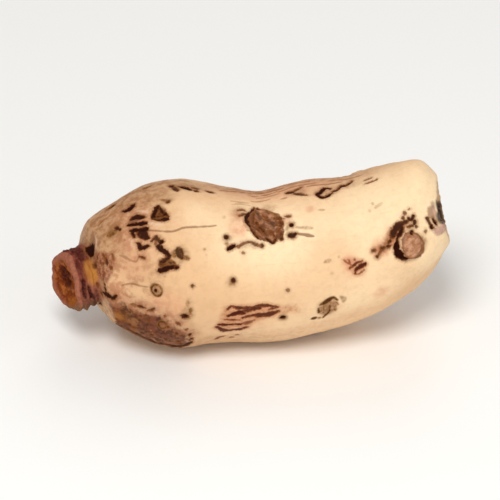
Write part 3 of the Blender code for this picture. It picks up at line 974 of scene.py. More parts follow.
def tint_at(tints, skin):
    """How strong the tints are, from 0 to 1."""
    clear = np.ones(len(skin.points))
    for tint in tints:
        lengthwise, crosswise = unrolled(skin, tint.along, tint.around)
        apart = (2 * lengthwise / tint.length) ** 2 + (2 * crosswise / tint.width) ** 2
        clear *= 1 - tint.tone * np.exp(-TINT_FALL * apart**TINT_POWER)
    return 1 - clear


# Marks that the photo doesn't show, on the sides away from it.
HIDDEN_SEED = 7
HIDDEN_GROUPS, HIDDEN_DOTS, HIDDEN_LINES, HIDDEN_STREAK_GROUPS = 9, 30, 4, 3
HIDDEN_FROM, HIDDEN_TO = 150, 335


def shifted(draw, place, along, around):
    """A place up to so far from another: in mm along the taro, and in degrees round it."""
    return place[0] + draw.uniform(-along, along), place[1] + draw.uniform(-around, around)


def hidden_marks():
    """Flecks in loose groups, dots, streaks and cracks, drawn at random on the sides not in the photo."""
    draw = random.Random(HIDDEN_SEED)
    flecks, cracks, streaks = [], [], []
    for _ in range(HIDDEN_GROUPS):
        group = (draw.uniform(24, 130), draw.uniform(HIDDEN_FROM + 10, HIDDEN_TO - 10))
        for _ in range(draw.randint(2, 5)):
            start = shifted(draw, group, 5, 10)
            bend = shifted(draw, start, 2, 5)
            stop = shifted(draw, bend, 2, 5)
            flecks.append(Stroke(draw.uniform(0.8, 1.9), draw.uniform(0.5, 1), (start, bend, stop)))
    for _ in range(HIDDEN_DOTS):
        size = draw.uniform(0.9, 1.8)
        place = (draw.uniform(20, 136), draw.uniform(HIDDEN_FROM, HIDDEN_TO))
        flecks.append(Blot(size, size * draw.uniform(0.7, 1), draw.uniform(0.4, 1), *place))
    for _ in range(HIDDEN_LINES):
        along, around = draw.uniform(30, 110), draw.uniform(HIDDEN_FROM + 15, HIDDEN_TO - 10)
        steps = [(along + 5 * step, around + draw.uniform(-3, 3)) for step in range(5)]
        cracks.append(Stroke(draw.uniform(0.6, 0.9), 0.6, tuple(steps)))
    for _ in range(HIDDEN_STREAK_GROUPS):
        along, around = draw.uniform(36, 116), draw.uniform(HIDDEN_FROM + 20, HIDDEN_TO - 20)
        for row in range(draw.randint(3, 5)):
            first = (along + draw.uniform(-1, 1), around + 5 * row)
            middle = (first[0] + draw.uniform(3, 5), first[1] + draw.uniform(-2, 2))
            last = (middle[0] + draw.uniform(2, 5), middle[1] + draw.uniform(-2, 2))
            streaks.append(Stroke(draw.uniform(0.9, 1.7), draw.uniform(0.6, 0.9), (first, middle, last)))
    return tuple(flecks), tuple(cracks), tuple(streaks)


HIDDEN_FLECKS, HIDDEN_CRACKS, HIDDEN_STREAKS = hidden_marks()
ALL_FLECKS = FLECKS + HIDDEN_FLECKS
ALL_CRACKS = CRACKS + HIDDEN_CRACKS
ALL_STREAKS = STREAKS + HIDDEN_STREAKS
FINE_MARKS = ALL_FLECKS + ALL_CRACKS + ALL_STREAKS + STAINS + TORN_SKIN[:1] + TORN_LIGHT + DISCS[:1]


def fine_edges(bm):
    """The edges near a scar or a mark that are too long to show it."""
    places = np.array([vertex.co for vertex in bm.verts])
    ends = np.array([[vertex.index for vertex in edge.verts] for edge in bm.edges])
    points = body_points(places)
    lengths = np.linalg.norm(points[ends[:, 1]] - points[ends[:, 0]], axis=1)
    longer = np.nonzero(lengths > MARK_EDGE)[0]
    middles = places[ends[longer]].mean(axis=1)
    middles /= np.linalg.norm(middles, axis=1, keepdims=True)
    skin = skin_at(middles)
    near_scar = np.zeros(len(longer), bool)
    for scar in SCARS:
        distance, off_plane = scar_distance(scar, skin.points)
        size = (scar.length + scar.width) / 4
        near_scar |= ((distance - 1) * size < MARK_REACH) & (off_plane < scar.length)
    near_mark = np.zeros(len(longer), bool)
    for mark in FINE_MARKS:
        near_mark |= np.abs(MEASURES[type(mark)](mark, skin)) < MARK_REACH
    split = near_mark | (near_scar & (lengths[longer] > SCAR_EDGE))
    edges = list(bm.edges)
    return [edges[index] for index in longer[split]]


def refined_sphere():
    """A unit sphere with its poles on X, and with smaller faces where the scars and marks go."""
    bm = bmesh.new()
    poles_on_x = Matrix.Rotation(math.radians(90), 4, "Y")
    bmesh.ops.create_uvsphere(bm, u_segments=SEGMENTS, v_segments=RINGS, radius=1, matrix=poles_on_x)
    edges = fine_edges(bm)
    while edges:
        bmesh.ops.subdivide_edges(bm, edges=edges, cuts=1, use_grid_fill=True)
        for vertex in bm.verts:
            vertex.co.normalize()
        bm.verts.index_update()
        edges = fine_edges(bm)
    bmesh.ops.triangulate(bm, faces=bm.faces)
    bmesh.ops.recalc_face_normals(bm, faces=bm.faces)
    return bm


def move_vertices(bm, points):
    for vertex, point in zip(bm.verts, points):
        vertex.co = Vector(point)
    bm.normal_update()


def vertex_normals(bm):
    return np.array([vertex.normal for vertex in bm.verts])


def scar_places(points):
    """Which scar each point is in, as a signed distance to its edge, and its place in that scar, in mm."""
    edge = np.full(len(points), FAR)
    place = np.zeros((len(points), 3))
    for scar in SCARS:
        lengthwise, crosswise, off_plane = oval_distance(scar, points)
        distance = (np.hypot(lengthwise, crosswise) - 1) * (scar.length + scar.width) / 4
        distance = np.where(off_plane < scar.length, distance, FAR)
        nearer = distance < edge
        edge[nearer] = distance[nearer]
        place[nearer, 0] = lengthwise[nearer] * scar.length / 2
        place[nearer, 1] = crosswise[nearer] * scar.width / 2
        place[nearer, 2] = scar.along
    return edge, place


FIBRE_STRETCH, FIBRES, FINER_FIBRES, FINER_SHARE = 0.22, 1.0, 2.3, 0.5


def fibres_at(place, fineness):
    """Ridges that run lengthwise in a scar, between about -1 and 1."""
    drawn_out = place * (FIBRE_STRETCH, fineness, 1)
    return lumps_at(drawn_out, 1.0)


# Marks with soft edges, by measure, and over how many mm each kind fades on either side of its edge.
SOFT_MARKS = {
    "stain": (STAINS, 0.5),
    "mauve": (MAUVE_LUMPS, 0.4),
    "veil": (VEIL_TINTS, 2.6),
    "shade": (SHADES, 1.3),
    "streak_ground": (STREAK_GROUND, 1.4),
    "flake": (FLAKES, 0.35),
    "bud": (BUD_TINTS, 0.7),
    "torn_light": (TORN_LIGHT, 0.5),
    "yellow": (YELLOW_TINTS, 1.1),
}
DEEP_SOFT, GROOVE_SOFT = 0.8, 0.55
TINTS = {
    # The pale and warm tints are partly painted light and shade, and the tan is partly painted shade.
    "bright": PALE_AND_LIT_TINTS,
    "warm": WARM_AND_SHADED_TINTS,
    "pink": PINK_TINTS,
    "tan": TAN_AND_SHADE_TINTS,
    "salmon": SALMON_TINTS,
    "rust": RUST_TINTS,
}
# Marks with ragged edges and a tone of their own, by measure, and how ragged they are in mm.
TONED_MARKS = {"fleck": (ALL_FLECKS, 0.2), "streak": (ALL_STREAKS, 0.25), "crack": (ALL_CRACKS, 0.1)}
# How much the marks' edges wander, as the heights and sizes of lumps in mm, and what some kinds make of it.
RAGGED_LUMPS = ((0.45, 1.3), (0.4, 3.1))
LEFT_SKIN_RAG, LEFT_SKIN_LUMPS, TORN_RAG, DISC_RAG, LENS_RAG, CAP_RAG = 1.2, 8.0, 0.4, 0.25, 0.2, 0.3
# The hollow's painted shade: how far inside its edge it starts, how much nearer it comes on the far wall,
# in mm.
HOLLOW_SHADE_IN, FAR_WALL_NEARER, HOLLOW_SOFT = 3.2, 2.6, 1.4
FAR_WALL_BEHIND, FAR_WALL_BELOW = (0, -3), (3, 0.5)
# The stub's face: the middle and half sizes of its dark heart, and its golden ring, in mm.
HEART_UP, HEART_NEAR, HEART_HEIGHT, HEART_WIDTH = 1.5, -1.4, 5.2, 4.6
HEART_FROM, HEART_TO, HEART_WANDER, HEART_LUMPS = 0.55, 1.1, 0.12, 2.2
GOLD_RADIUS, GOLD_WIDTH = 7.4, 1.5


def measures_at(skin):
    """Every measure that the relief and the material use, by name, at places on the skin."""
    points, along, around, radius = skin
    ragged = lumps_together(points, *RAGGED_LUMPS)
    edge, place = scar_places(points)
    on_side = eased(FACE_ENDS, SIDE_STARTS, radius)
    on_stub = 1 - eased(STUB_ENDS - 0.8, STUB_ENDS + 1.6, along + waves(STUB_WAVES, around) * 0.5)
    left_on = marks_distance(LEFT_SKIN, skin) + ragged * LEFT_SKIN_RAG + lumps_at(points, LEFT_SKIN_LUMPS)
    torn = marks_distance(TORN_SKIN, skin) + ragged * TORN_RAG
    disc = marks_distance(DISCS, skin) + ragged * DISC_RAG
    up, near = radius * np.cos(around), radius * np.sin(around)
    far_wall = eased(*FAR_WALL_BEHIND, near) * eased(*FAR_WALL_BELOW, up)
    dark_in = HOLLOW_SHADE_IN - FAR_WALL_NEARER * far_wall
    hollow_shade_share = np.where(place[:, 2] == HOLLOW.along, inside(edge + dark_in, HOLLOW_SOFT), 0)
    heart = np.hypot((up - HEART_UP) / HEART_HEIGHT, (near - HEART_NEAR) / HEART_WIDTH)
    gold = np.exp(-(((np.hypot(up, near) - GOLD_RADIUS) / GOLD_WIDTH) ** 2))
    measures = {
        "along": along,
        "around": around,
        "radius": radius,
        "scar": edge,
        "scar_place": place,
        "side": on_side,
        "stub": np.where(along < SHOULDER_ENDS, on_stub, 0),
        "skin": np.clip(left_on, -FAR, FAR),
        "torn": np.clip(torn, -FAR, FAR),
        "disc": np.clip(disc, -FAR, FAR),
        "lens": blot_distance(LENS, skin) + ragged * LENS_RAG,
        "lens_light": blot_distance(LENS_LIGHT, skin) + ragged * LENS_RAG,
        "cap": patch_distance(CAP, skin) + ragged * CAP_RAG,
        # Painted shade in the hollow.
        "deep": np.maximum(soft_marks(HOLLOW_SHADE_MARKS, skin, DEEP_SOFT), hollow_shade_share),
        "face_dark": 1 - eased(HEART_FROM, HEART_TO, heart + HEART_WANDER * lumps_at(points, HEART_LUMPS)),
        "face_gold": gold * eased(3, 0, up) * eased(-1, 1, near),
        # The grooves, and the painted shadow over the stub's top.
        "groove": soft_marks(GROOVES_AND_STUB_SHADE, skin, GROOVE_SOFT) * on_side,
    }
    for name, (marks, rag) in TONED_MARKS.items():
        distance, measures[name + "_tone"] = nearest_mark(marks, skin)
        measures[name] = distance + ragged * rag
    for name, (marks, soft) in SOFT_MARKS.items():
        measures[name] = soft_marks(marks, skin, soft)
    for name, tints in TINTS.items():
        measures[name] = tint_at(tints, skin)
    return measures


class Pit(NamedTuple):
    """How a kind of small mark is sunk in the skin, with a low rim round it, all in mm."""

    depth: float
    soft: float
    rim: float = 0.0
    rim_at: float = 0.0
    rim_width: float = 1.0


PITS = {
    "fleck": Pit(depth=0.3, soft=0.4, rim=0.07, rim_at=0.55, rim_width=0.35),
    "crack": Pit(depth=0.22, soft=0.35, rim=0.05, rim_at=0.5, rim_width=0.3),
    "streak": Pit(depth=0.16, soft=0.35),
}
# How far left-on skin, the lens, the cap and the flakes stand proud, and the scars' fibres, in mm.
SKIN_RISE, LENS_RISE, CAP_RISE, FLAKE_RISE, FIBRE_RISE = 0.16, 0.5, 0.9, 0.12, 0.16
# Over how far their edges rise, on either side, in mm.
SKIN_SOFT, LENS_SOFT, CAP_SOFT, SCAR_SOFT = 0.35, 0.9, 1.3, 0.8
# Fine lumps, as their heights and sizes in mm: on the body, everywhere, in the scars and on left-on skin.
BODY_LUMPS, ALL_LUMPS, SCAR_LUMPS = (0.09, 5.0), (0.04, 1.9), (0.12, 1.1)
SKIN_LUMPS = ((0.12, 1.5), (0.1, 3.4))
# The stub's face: how high its rings are in mm, how close they stand and how they wander.
RING_HEIGHT, RING_TURNS, RING_PHASE, RING_WANDER, RING_LUMPS = 0.22, 2.1, 0.6, 1.3, 4.0
TORN_HEIGHT, TORN_LUMPS, TORN_STRETCH, FACE_LUMPS = 0.2, 1.1, (1.0, 0.45, 1.0), (0.12, 0.7)
# The stub's side and the shoulder by it: how high their wrinkles and thin edges are, in mm.
WRINKLE_HEIGHT, EDGE_HEIGHT, SHOULDER_HEIGHT = 0.13, 0.16, 0.12
SHOULDER_AT, SHOULDER_REACH = 15.0, 5.0


def fine_relief(points, measures):
    """How far the finer relief raises the skin, in mm, beyond the form's own scars and unevenness."""
    on_body = eased(STUB_ENDS, SHOULDER_ENDS, measures["along"])
    rise = lumps_together(points, BODY_LUMPS) * on_body + lumps_together(points, ALL_LUMPS)
    for name, pit in PITS.items():
        rim = np.exp(-(((measures[name] - pit.rim_at) / pit.rim_width) ** 2))
        rise += pit.rim * rim - pit.depth * inside(measures[name], pit.soft)
    in_scar, skin = inside(measures["scar"], SCAR_SOFT), inside(measures["skin"], SKIN_SOFT)
    rise += skin * (SKIN_RISE + lumps_together(points, *SKIN_LUMPS))
    place = measures["scar_place"]
    fibres = fibres_at(place, FIBRES) + FINER_SHARE * fibres_at(place, FINER_FIBRES)
    rise += in_scar * (1 - skin) * FIBRE_RISE * fibres
    rise += in_scar * lumps_together(points, SCAR_LUMPS)
    rise += LENS_RISE * inside(measures["lens"], LENS_SOFT) + CAP_RISE * inside(measures["cap"], CAP_SOFT)
    rise += FLAKE_RISE * measures["flake"]
    return rise + stub_detail(measures)


def round_stub(along, around, lengthwise, crosswise):
    """Lumps on the stub's side, drawn out lengthwise or round it: the larger, the finer that way."""
    places = [along * lengthwise, np.cos(around) * crosswise, np.sin(around) * crosswise]
    return lumps_at(np.stack(places, 1), 1.0)


def stub_detail(measures):
    """The finer relief of the stub: torn fibres on its face, and wrinkles and thin edges on its side."""
    along, around, radius = measures["along"], measures["around"], measures["radius"]
    stub, side = measures["stub"], measures["side"]
    across = np.stack([radius * np.cos(around), radius * np.sin(around), np.zeros_like(radius)], 1)
    rings = np.sin(radius * RING_TURNS + RING_WANDER * lumps_at(across, RING_LUMPS) + RING_PHASE)
    torn = lumps_at(across * TORN_STRETCH, TORN_LUMPS)
    face = RING_HEIGHT * rings + TORN_HEIGHT * torn + lumps_together(across, FACE_LUMPS)
    on_face = stub * (1 - side) * (along < SIDE_STARTS)
    wrinkles, edges = round_stub(along, around, 0.35, 7), round_stub(along, around, 1.6, 2.2)
    on_shoulder = np.exp(-(((along - SHOULDER_AT) / SHOULDER_REACH) ** 2)) * side * (1 - stub)
    return (
        on_face * face
        + stub * side * (WRINKLE_HEIGHT * wrinkles + EDGE_HEIGHT * edges)
        + SHOULDER_HEIGHT * on_shoulder * round_stub(along, around, 0.9, 1.6)
    )


def base_of(points):
    """The point below the middle of the form's box, which is the part's origin."""
    low, high = points.min(axis=0), points.max(axis=0)
    return np.array([(low[0] + high[0]) / 2, (low[1] + high[1]) / 2, low[2]])


def new_object(name, data):
    """A new object in the scene that shows the data."""
    thing = bpy.data.objects.new(name, data)
    bpy.context.scene.collection.objects.link(thing)
    return thing


def new_mesh_object(name, bm):
    """A new object in the scene with the faces given, which are used up."""
    mesh = bpy.data.meshes.new(name)
    bm.to_mesh(mesh)
    bm.free()
    return new_object(name, mesh)


def face_along(thing, direction):
    """Turns a camera or a lamp so that it looks along the direction."""
    thing.rotation_mode = "QUATERNION"
    thing.rotation_quaternion = direction.to_track_quat("-Z", "Y")


def write_measures(mesh, measures):
    """Writes each measure onto the mesh's vertices, for the material to read."""
    for name, values in measures.items():
        kind = "FLOAT_VECTOR" if values.ndim == 2 else "FLOAT"
        attribute = mesh.attributes.new(name, kind, "POINT")
        field = "vector" if values.ndim == 2 else "value"
        attribute.data.foreach_set(field, values.astype(np.float32).ravel())


def taro_skin():
    """The fine mesh of the whole taro, in metres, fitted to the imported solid's box."""
    bm = refined_sphere()
    skin = skin_at(np.array([vertex.co for vertex in bm.verts]))
    points = skin.points
    move_vertices(bm, points)
    outward = vertex_normals(bm)
    measures = measures_at(skin)
    relief = scar_relief(points) + unevenness(points, measures["along"])
    formed = points + outward * relief[:, None]
    floor_level = formed[:, 2].min() + FLOOR_CUT
    formed[:, 2] = np.maximum(formed[:, 2], floor_level)
    low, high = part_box("taro")
    box_base = np.array([(low.x + high.x) / 2, (low.y + high.y) / 2, low.z])
    shift = box_base / MM - base_of(formed)
    move_vertices(bm, formed)
    finished = formed + vertex_normals(bm) * fine_relief(points, measures)[:, None]
    finished[:, 2] = np.maximum(finished[:, 2], floor_level)
    move_vertices(bm, (finished + shift) * MM)
    piece = new_mesh_object("taro_skin", bm)
    write_measures(piece.data, measures)
    piece.data.shade_smooth()
    return piece


# Colours, as red, green and blue from 0 to 255.


def colour(red, green, blue):
    """A colour for the shader, from red, green and blue between 0 and 255 as a screen shows them."""
    shares = [value / 255 for value in (red, green, blue)]
    linear = [s / 12.92 if s <= 0.04045 else ((s + 0.055) / 1.055) ** 2.4 for s in shares]
    return (*linear, 1.0)


CREAM = colour(252, 222, 180)
WARM = colour(228, 186, 142)
# Tan, which also paints shade at the neck and on the underside.
TAN_AND_SHADE = colour(160, 109, 71)
PINK = colour(214, 144, 110)
YELLOW = colour(188, 126, 58)
FLECK, FLECK_LIGHT, FLECK_HALO = colour(46, 10, 2), colour(122, 66, 28), colour(142, 90, 50)
STREAK, STREAK_LIGHT, STREAK_HALO = colour(70, 20, 4), colour(132, 66, 32), colour(190, 128, 90)
STAIN, STAIN_LIGHT = colour(74, 40, 10), colour(138, 90, 44)
SHADE, STREAK_GROUND_COLOUR, FLAKE = colour(128, 84, 44), colour(186, 118, 78), colour(234, 204, 176)
CRACK = colour(116, 70, 34)
MAUVE = colour(100, 54, 54)
VEIL = colour(160, 98, 72)
BUD, BUD_LIGHT = colour(128, 66, 40), colour(182, 122, 90)
SKIN, SKIN_DARK, SKIN_LIGHT = colour(120, 66, 46), colour(58, 18, 10), colour(164, 106, 76)
SKIN_OLIVE = colour(142, 92, 42)
RUST = colour(136, 62, 8)
TORN, TORN_DARK, TORN_LIGHT_COLOUR = colour(108, 52, 28), colour(60, 18, 6), colour(196, 136, 98)
DISC, DISC_LIGHT, DISC_DARK = colour(166, 112, 78), colour(202, 152, 118), colour(104, 60, 34)
STUB_RIM, STUB_PINK, STUB_BROWN = colour(168, 104, 80), colour(140, 76, 58), colour(98, 42, 30)
STUB_FACE, STUB_LIGHT = colour(118, 50, 12), colour(164, 92, 44)
SALMON = colour(206, 112, 84)
FACE_DARK, FACE_GOLD = colour(64, 10, 0), colour(158, 88, 22)
# The grooves' maroon, which also paints the shadow over the stub's top.
GROOVE_AND_SHADE, OLIVE = colour(50, 2, 4), colour(116, 86, 52)
LENS_COLOUR, LENS_PINK, CAP_COLOUR = colour(166, 130, 102), colour(214, 168, 144), colour(184, 146, 130)
# The hollow's painted shade, and its own mauve-brown.
HOLLOW_SHADE, HOLLOW_COLOUR = colour(32, 6, 4), colour(104, 62, 56)


class Value:
    """What one of the material's nodes gives: a number, a colour or a place. Working with it adds nodes."""

    def __init__(self, graph, socket):
        self.graph, self.socket = graph, socket

    def __add__(self, other):
        return self.graph.maths("ADD", self, other)

    def __sub__(self, other):
        return self.graph.maths("SUBTRACT", self, other)

    def __rsub__(self, other):
        return self.graph.maths("SUBTRACT", other, self)

    def __mul__(self, other):
        return self.graph.maths("MULTIPLY", self, other)

    def either(self, other):
        return self.graph.maths("MAXIMUM", self, other)

    def without(self, other):
        """This value where the other is 0, and 0 where the other is 1."""
        return self * (1 - other)

    def step(self, low, high):
        """From 0 where this value is low to 1 where it is high, with no corner at either."""
        inputs = {"Value": self, "From Min": low, "From Max": high}
        return self.graph.add("ShaderNodeMapRange", inputs, interpolation_type="SMOOTHSTEP")

    def varied(self, noise, least):
        """This value, times no less than the least where the noise is low."""
        return self * (noise.step(*VARIED_BY) * (1 - least) + least)

    def scaled(self, *factors):
        return self.graph.add("ShaderNodeVectorMath", {0: self, 1: factors}, operation="MULTIPLY")

    def tinted(self, colour, share):
        """This colour with another laid over it, by a share from 0 to 1."""
        return self.graph.mix(share, self, colour)


VARIED_BY = (0.35, 0.65)


class Graph:
    """Adds a material's nodes and gives what they work out."""

    def __init__(self, material):
        material.use_nodes = True
        self.tree = material.node_tree
        self.shader = self.tree.nodes["Principled BSDF"]

    def feed(self, socket, value):
        if isinstance(value, Value):
            self.tree.links.new(value.socket, socket)
        else:
            socket.default_value = value

    def add(self, kind, inputs=(), output=0, **settings):
        """The value of a new node's output, named or numbered, for the inputs and settings given."""
        node = self.tree.nodes.new(kind)
        for name, value in settings.items():
            setattr(node, name, value)
        for key, value in dict(inputs).items():
            self.feed(node.inputs[key], value)
        return Value(self, node.outputs[output])

    def measure(self, name, output="Fac"):
        return self.add("ShaderNodeAttribute", output=output, attribute_name=name)

    def places(self):
        """The piece's own coordinates, in mm."""
        return self.add("ShaderNodeTexCoord", output="Object").scaled(1 / MM, 1 / MM, 1 / MM)

    def noise(self, places, size, detail, roughness=0.5):
        """Noise from 0 to 1 whose features are about so many mm across."""
        inputs = {"Vector": places, "Scale": 1 / size, "Detail": detail, "Roughness": roughness}
        return self.add("ShaderNodeTexNoise", inputs, "Fac")

    def maths(self, operation, first, second):
        return self.add("ShaderNodeMath", {0: first, 1: second}, operation=operation)

    def mix(self, share, under, over):
        """A colour between two, by a share from 0 to 1."""
        return self.add("ShaderNodeMix", {0: share, 6: under, 7: over}, 2, data_type="RGBA")

    def marked(self, name, rag, amount, soft, grown=0.0):
        """From 0 to 1 inside a kind of mark, with an edge that the rag noise tears, all in mm."""
        torn = self.measure(name) + (rag - 0.5) * amount
        return torn.step(grown + soft, grown - soft)


class Grain(NamedTuple):
    """The noises that the skin's colours share."""

    middling: Value
    blotchy: Value
    rag: Value
    fine: Value
    finest: Value
    lengthwise: Value


def skin_grain(graph, places):
    """The noises, with the sizes of their features in mm."""
    return Grain(
        middling=graph.noise(places, size=7, detail=3),
        blotchy=graph.noise(places, size=2.6, detail=4, roughness=0.62),
        rag=graph.noise(places, size=0.8, detail=3, roughness=0.65),
        fine=graph.noise(places, size=1.4, detail=4, roughness=0.6),
        finest=graph.noise(places, size=0.45, detail=3, roughness=0.6),
        lengthwise=graph.noise(places.scaled(0.12, 1, 1), size=1.1, detail=3, roughness=0.6),
    )


class Layer(NamedTuple):
    """A colour laid over the skin by a measure, which a noise of the grain thins, and how strongly."""

    measure: str
    colour: tuple
    noise: str
    least: float
    strength: float = 1.0


BARE_LAYERS = (
    Layer("pink", PINK, "blotchy", least=0.55, strength=0.66),
    # The tan layer is partly painted shade, at the neck and on the underside.
    Layer("tan", TAN_AND_SHADE, "blotchy", least=0.55),
    Layer("salmon", SALMON, "rag", least=0.4, strength=0.8),
    Layer("veil", VEIL, "blotchy", least=0.45),
    Layer("streak_ground", STREAK_GROUND_COLOUR, "fine", least=0.45),
)
RUST_LAYER = Layer("rust", RUST, "fine", least=0.5)
TORN_LIGHT_LAYER = Layer("torn_light", TORN_LIGHT_COLOUR, "rag", least=0.4, strength=0.85)
FACE_LAYERS = (
    Layer("face_gold", FACE_GOLD, "fine", least=0.5),
    Layer("face_dark", FACE_DARK, "fine", least=0.8),
)
SHADE_LAYERS = (
    Layer("shade", SHADE, "fine", least=0.5),
    Layer("yellow", YELLOW, "middling", least=0.7),
)
MAUVE_LAYER = Layer("mauve", MAUVE, "rag", least=0.6)


def laid(graph, grain, surface, *layers):
    """The surface with the layers over it, one after another."""
    for layer in layers:
        share = graph.measure(layer.measure).varied(getattr(grain, layer.noise), layer.least)
        surface = surface.tinted(layer.colour, share * layer.strength)
    return surface


def bare_skin(graph, grain):
    """Skin that was rubbed bare: pale on the body, warm at its edges, tan and mottled by the neck. The pale
    middle is partly painted light, and the warm edges and the tan neck are partly painted shade.
    """
    along = graph.measure("along")
    # Pale where the light falls full and warm towards the edges: partly the skin's own tone, partly painted
    # light and shade.
    bright = graph.measure("bright") * along.step(*BODY_PALES)
    ground = graph.mix(bright.without(graph.measure("warm") * 0.8), WARM, CREAM)
    # Painted shade towards the neck, over its own tan.
    neck_tan_and_shade = along.step(*NECK_TAN_AND_SHADE_FADES)
    mottled = (grain.blotchy + grain.middling * 0.6).step(0.72, 0.98)
    ground = ground.tinted(TAN_AND_SHADE, mottled * (neck_tan_and_shade * 0.55 + 0.08))
    ground = ground.tinted(TAN_AND_SHADE, grain.fine.step(0.5, 0.75) * (neck_tan_and_shade * 0.25 + 0.07))
    ground = ground.tinted(PINK, grain.lengthwise.step(0.55, 0.8) * 0.16)
    return laid(graph, grain, ground, *BARE_LAYERS)


# Where the skin's colours change along the taro, from and to, in mm. The body's pale is partly painted
# light, and the neck's tan is partly painted shade.
BODY_PALES, NECK_TAN_AND_SHADE_FADES = (34, 56), (46, 16)
OLIVE_FADES, LEFT_SKIN_DARKENS = (32, 18), (32, 44)
STUB_RIM_FADES = (3.2, 2.4)


def left_on_skin(graph, grain, surface):
    """Thin brown skin, mottled, olive near the neck and worn through in places."""
    along = graph.measure("along")
    torn_edge = grain.rag * 0.6 + grain.blotchy * 0.8
    skin = graph.marked("skin", torn_edge, amount=4.5, soft=1.3, grown=-0.4)
    worn = (grain.blotchy + grain.rag * 0.5).step(0.9, 1.05)
    dark = grain.blotchy.step(0.56, 0.4).either(along.step(*LEFT_SKIN_DARKENS) * 0.45)
    olive = along.step(*OLIVE_FADES) * grain.middling.step(0.3, 0.5)
    brown = graph.mix(grain.middling.step(0.4, 0.62), SKIN, SKIN_LIGHT)
    brown = brown.tinted(SKIN_OLIVE, olive * 0.75)
    brown = brown.tinted(SKIN_DARK, dark * 0.85)
    brown = brown.tinted(SKIN_DARK, grain.rag.step(0.54, 0.7) * 0.35)
    surface = surface.tinted(brown, skin.without(worn * 0.7) * 0.94)
    return laid(graph, grain, surface, RUST_LAYER), skin


def scars(graph, grain, surface):
    """Where buds tore off: brown fibres, with paler ones between them, and smoother tan discs."""
    scar_places = graph.measure("scar_place", "Vector").scaled(0.25, 1.3, 1)
    fibre = graph.noise(scar_places, size=1, detail=3, roughness=0.65)
    torn_edge, disc_edge = graph.measure("torn"), graph.measure("disc")
    cups = graph.marked("scar", grain.rag, amount=1.1, soft=0.35, grown=-0.35)
    cups = cups.without(disc_edge.step(1.5, 0.5)).without(torn_edge.step(1.5, 0.5))
    surface = surface.tinted(STAIN_LIGHT, cups * 0.25)
    torn = graph.marked("torn", grain.rag, amount=1.0, soft=0.3)
    torn_colour = graph.mix(fibre.step(0.36, 0.58), TORN_DARK, TORN)
    torn_colour = torn_colour.tinted(TORN_LIGHT_COLOUR, grain.blotchy.step(0.49, 0.63) * 0.75)
    torn_colour = laid(graph, grain, torn_colour, TORN_LIGHT_LAYER)
    surface = surface.tinted(torn_colour, torn * 0.95)
    disc = graph.marked("disc", grain.rag, amount=0.5, soft=0.2)
    mottles = fibre * 0.35 + grain.blotchy * 0.65
    disc_colour = graph.mix(mottles.step(0.4, 0.58), DISC, DISC_LIGHT)
    disc_colour = disc_colour.tinted(DISC_DARK, grain.fine.step(0.54, 0.72) * 0.5)
    disc_colour = disc_colour.tinted(DISC_DARK, disc * disc_edge.step(-1.1, -0.2) * 0.6)
    return surface.tinted(disc_colour, disc), torn.either(disc * 0.5), fibre


def broken_end(graph, grain, surface, fibre):
    """The hollow at the broken end, its dark brown deepened by painted shade, and the round lens and the
    pale cap on its near lip.
    """
    lens = graph.marked("lens", grain.rag, amount=0.8, soft=0.6)
    lens_light = graph.marked("lens_light", grain.rag, amount=0.8, soft=0.6)
    surface = surface.tinted(LENS_COLOUR, lens * 0.9).tinted(LENS_PINK, lens_light)
    # Painted shade in the hollow, over its own dark brown.
    hollow_shade_colour = graph.mix(fibre.step(0.52, 0.74), HOLLOW_SHADE, HOLLOW_COLOUR)
    surface = surface.tinted(hollow_shade_colour, graph.measure("deep").varied(grain.rag, 0.85))
    cap = graph.marked("cap", grain.rag, amount=0.8, soft=0.45)
    cap_colour = graph.mix(grain.fine.step(0.4, 0.7), CAP_COLOUR, LENS_PINK)
    return surface.tinted(cap_colour, cap * 0.92)


# Where the stub's side is paler and where it turns olive, as angles round it.
PALE_FROM, PALE_TO = math.radians(56), math.radians(66)
OLIVE_FROM, OLIVE_TO = math.radians(104), math.radians(128)


def shoot_stub(graph, grain, places, surface):
    """The shoot's stub: pink leaf bases with maroon grooves between them, painted shadow over its top, and
    a brown torn face.
    """
    stub, around = graph.measure("stub"), graph.measure("around")
    streaks = graph.noise(places.scaled(0.25, 1.6, 1.6), size=1, detail=4, roughness=0.6)
    rim = (graph.measure("along") + grain.rag * 0.8).step(*STUB_RIM_FADES)
    pale = rim.either(around.step(PALE_FROM, PALE_TO) * 0.8)
    side_colour = graph.mix(grain.blotchy.step(0.36, 0.62), STUB_BROWN, STUB_PINK)
    side_colour = side_colour.tinted(STUB_RIM, pale.varied(grain.fine, 0.6))
    side_colour = side_colour.tinted(GROOVE_AND_SHADE, streaks.step(0.54, 0.72) * 0.45)
    side_colour = side_colour.tinted(OLIVE, around.step(OLIVE_FROM, OLIVE_TO) * 0.75)
    face_colour = graph.mix(grain.blotchy.step(0.42, 0.64), STUB_FACE, STUB_LIGHT)
    face_colour = laid(graph, grain, face_colour, *FACE_LAYERS)
    face_colour = face_colour.tinted(STUB_LIGHT, grain.fine.step(0.6, 0.74) * 0.5)
    stub_colour = face_colour.tinted(side_colour, graph.measure("side"))
    # The grooves, and the painted shadow over the stub's top.
    groove = graph.measure("groove").varied(grain.rag, 0.7)
    return surface.tinted(stub_colour, stub).tinted(GROOVE_AND_SHADE, groove * stub), stub


def bud_and_stains(graph, grain, surface):
    """The pink-brown bud by the neck, and the brown and olive stains."""
    bud_colour = graph.mix(grain.fine.step(0.42, 0.62), BUD, BUD_LIGHT)
    surface = surface.tinted(bud_colour, graph.measure("bud").varied(grain.blotchy, 0.7))
    stain = graph.measure("stain").varied(grain.fine * 0.5 + grain.rag * 0.5, 0.6)
    stain_colour = graph.mix(stain.step(0.3, 0.8), STAIN_LIGHT, STAIN)
    return surface.tinted(stain_colour, stain.step(0.0, 0.6))


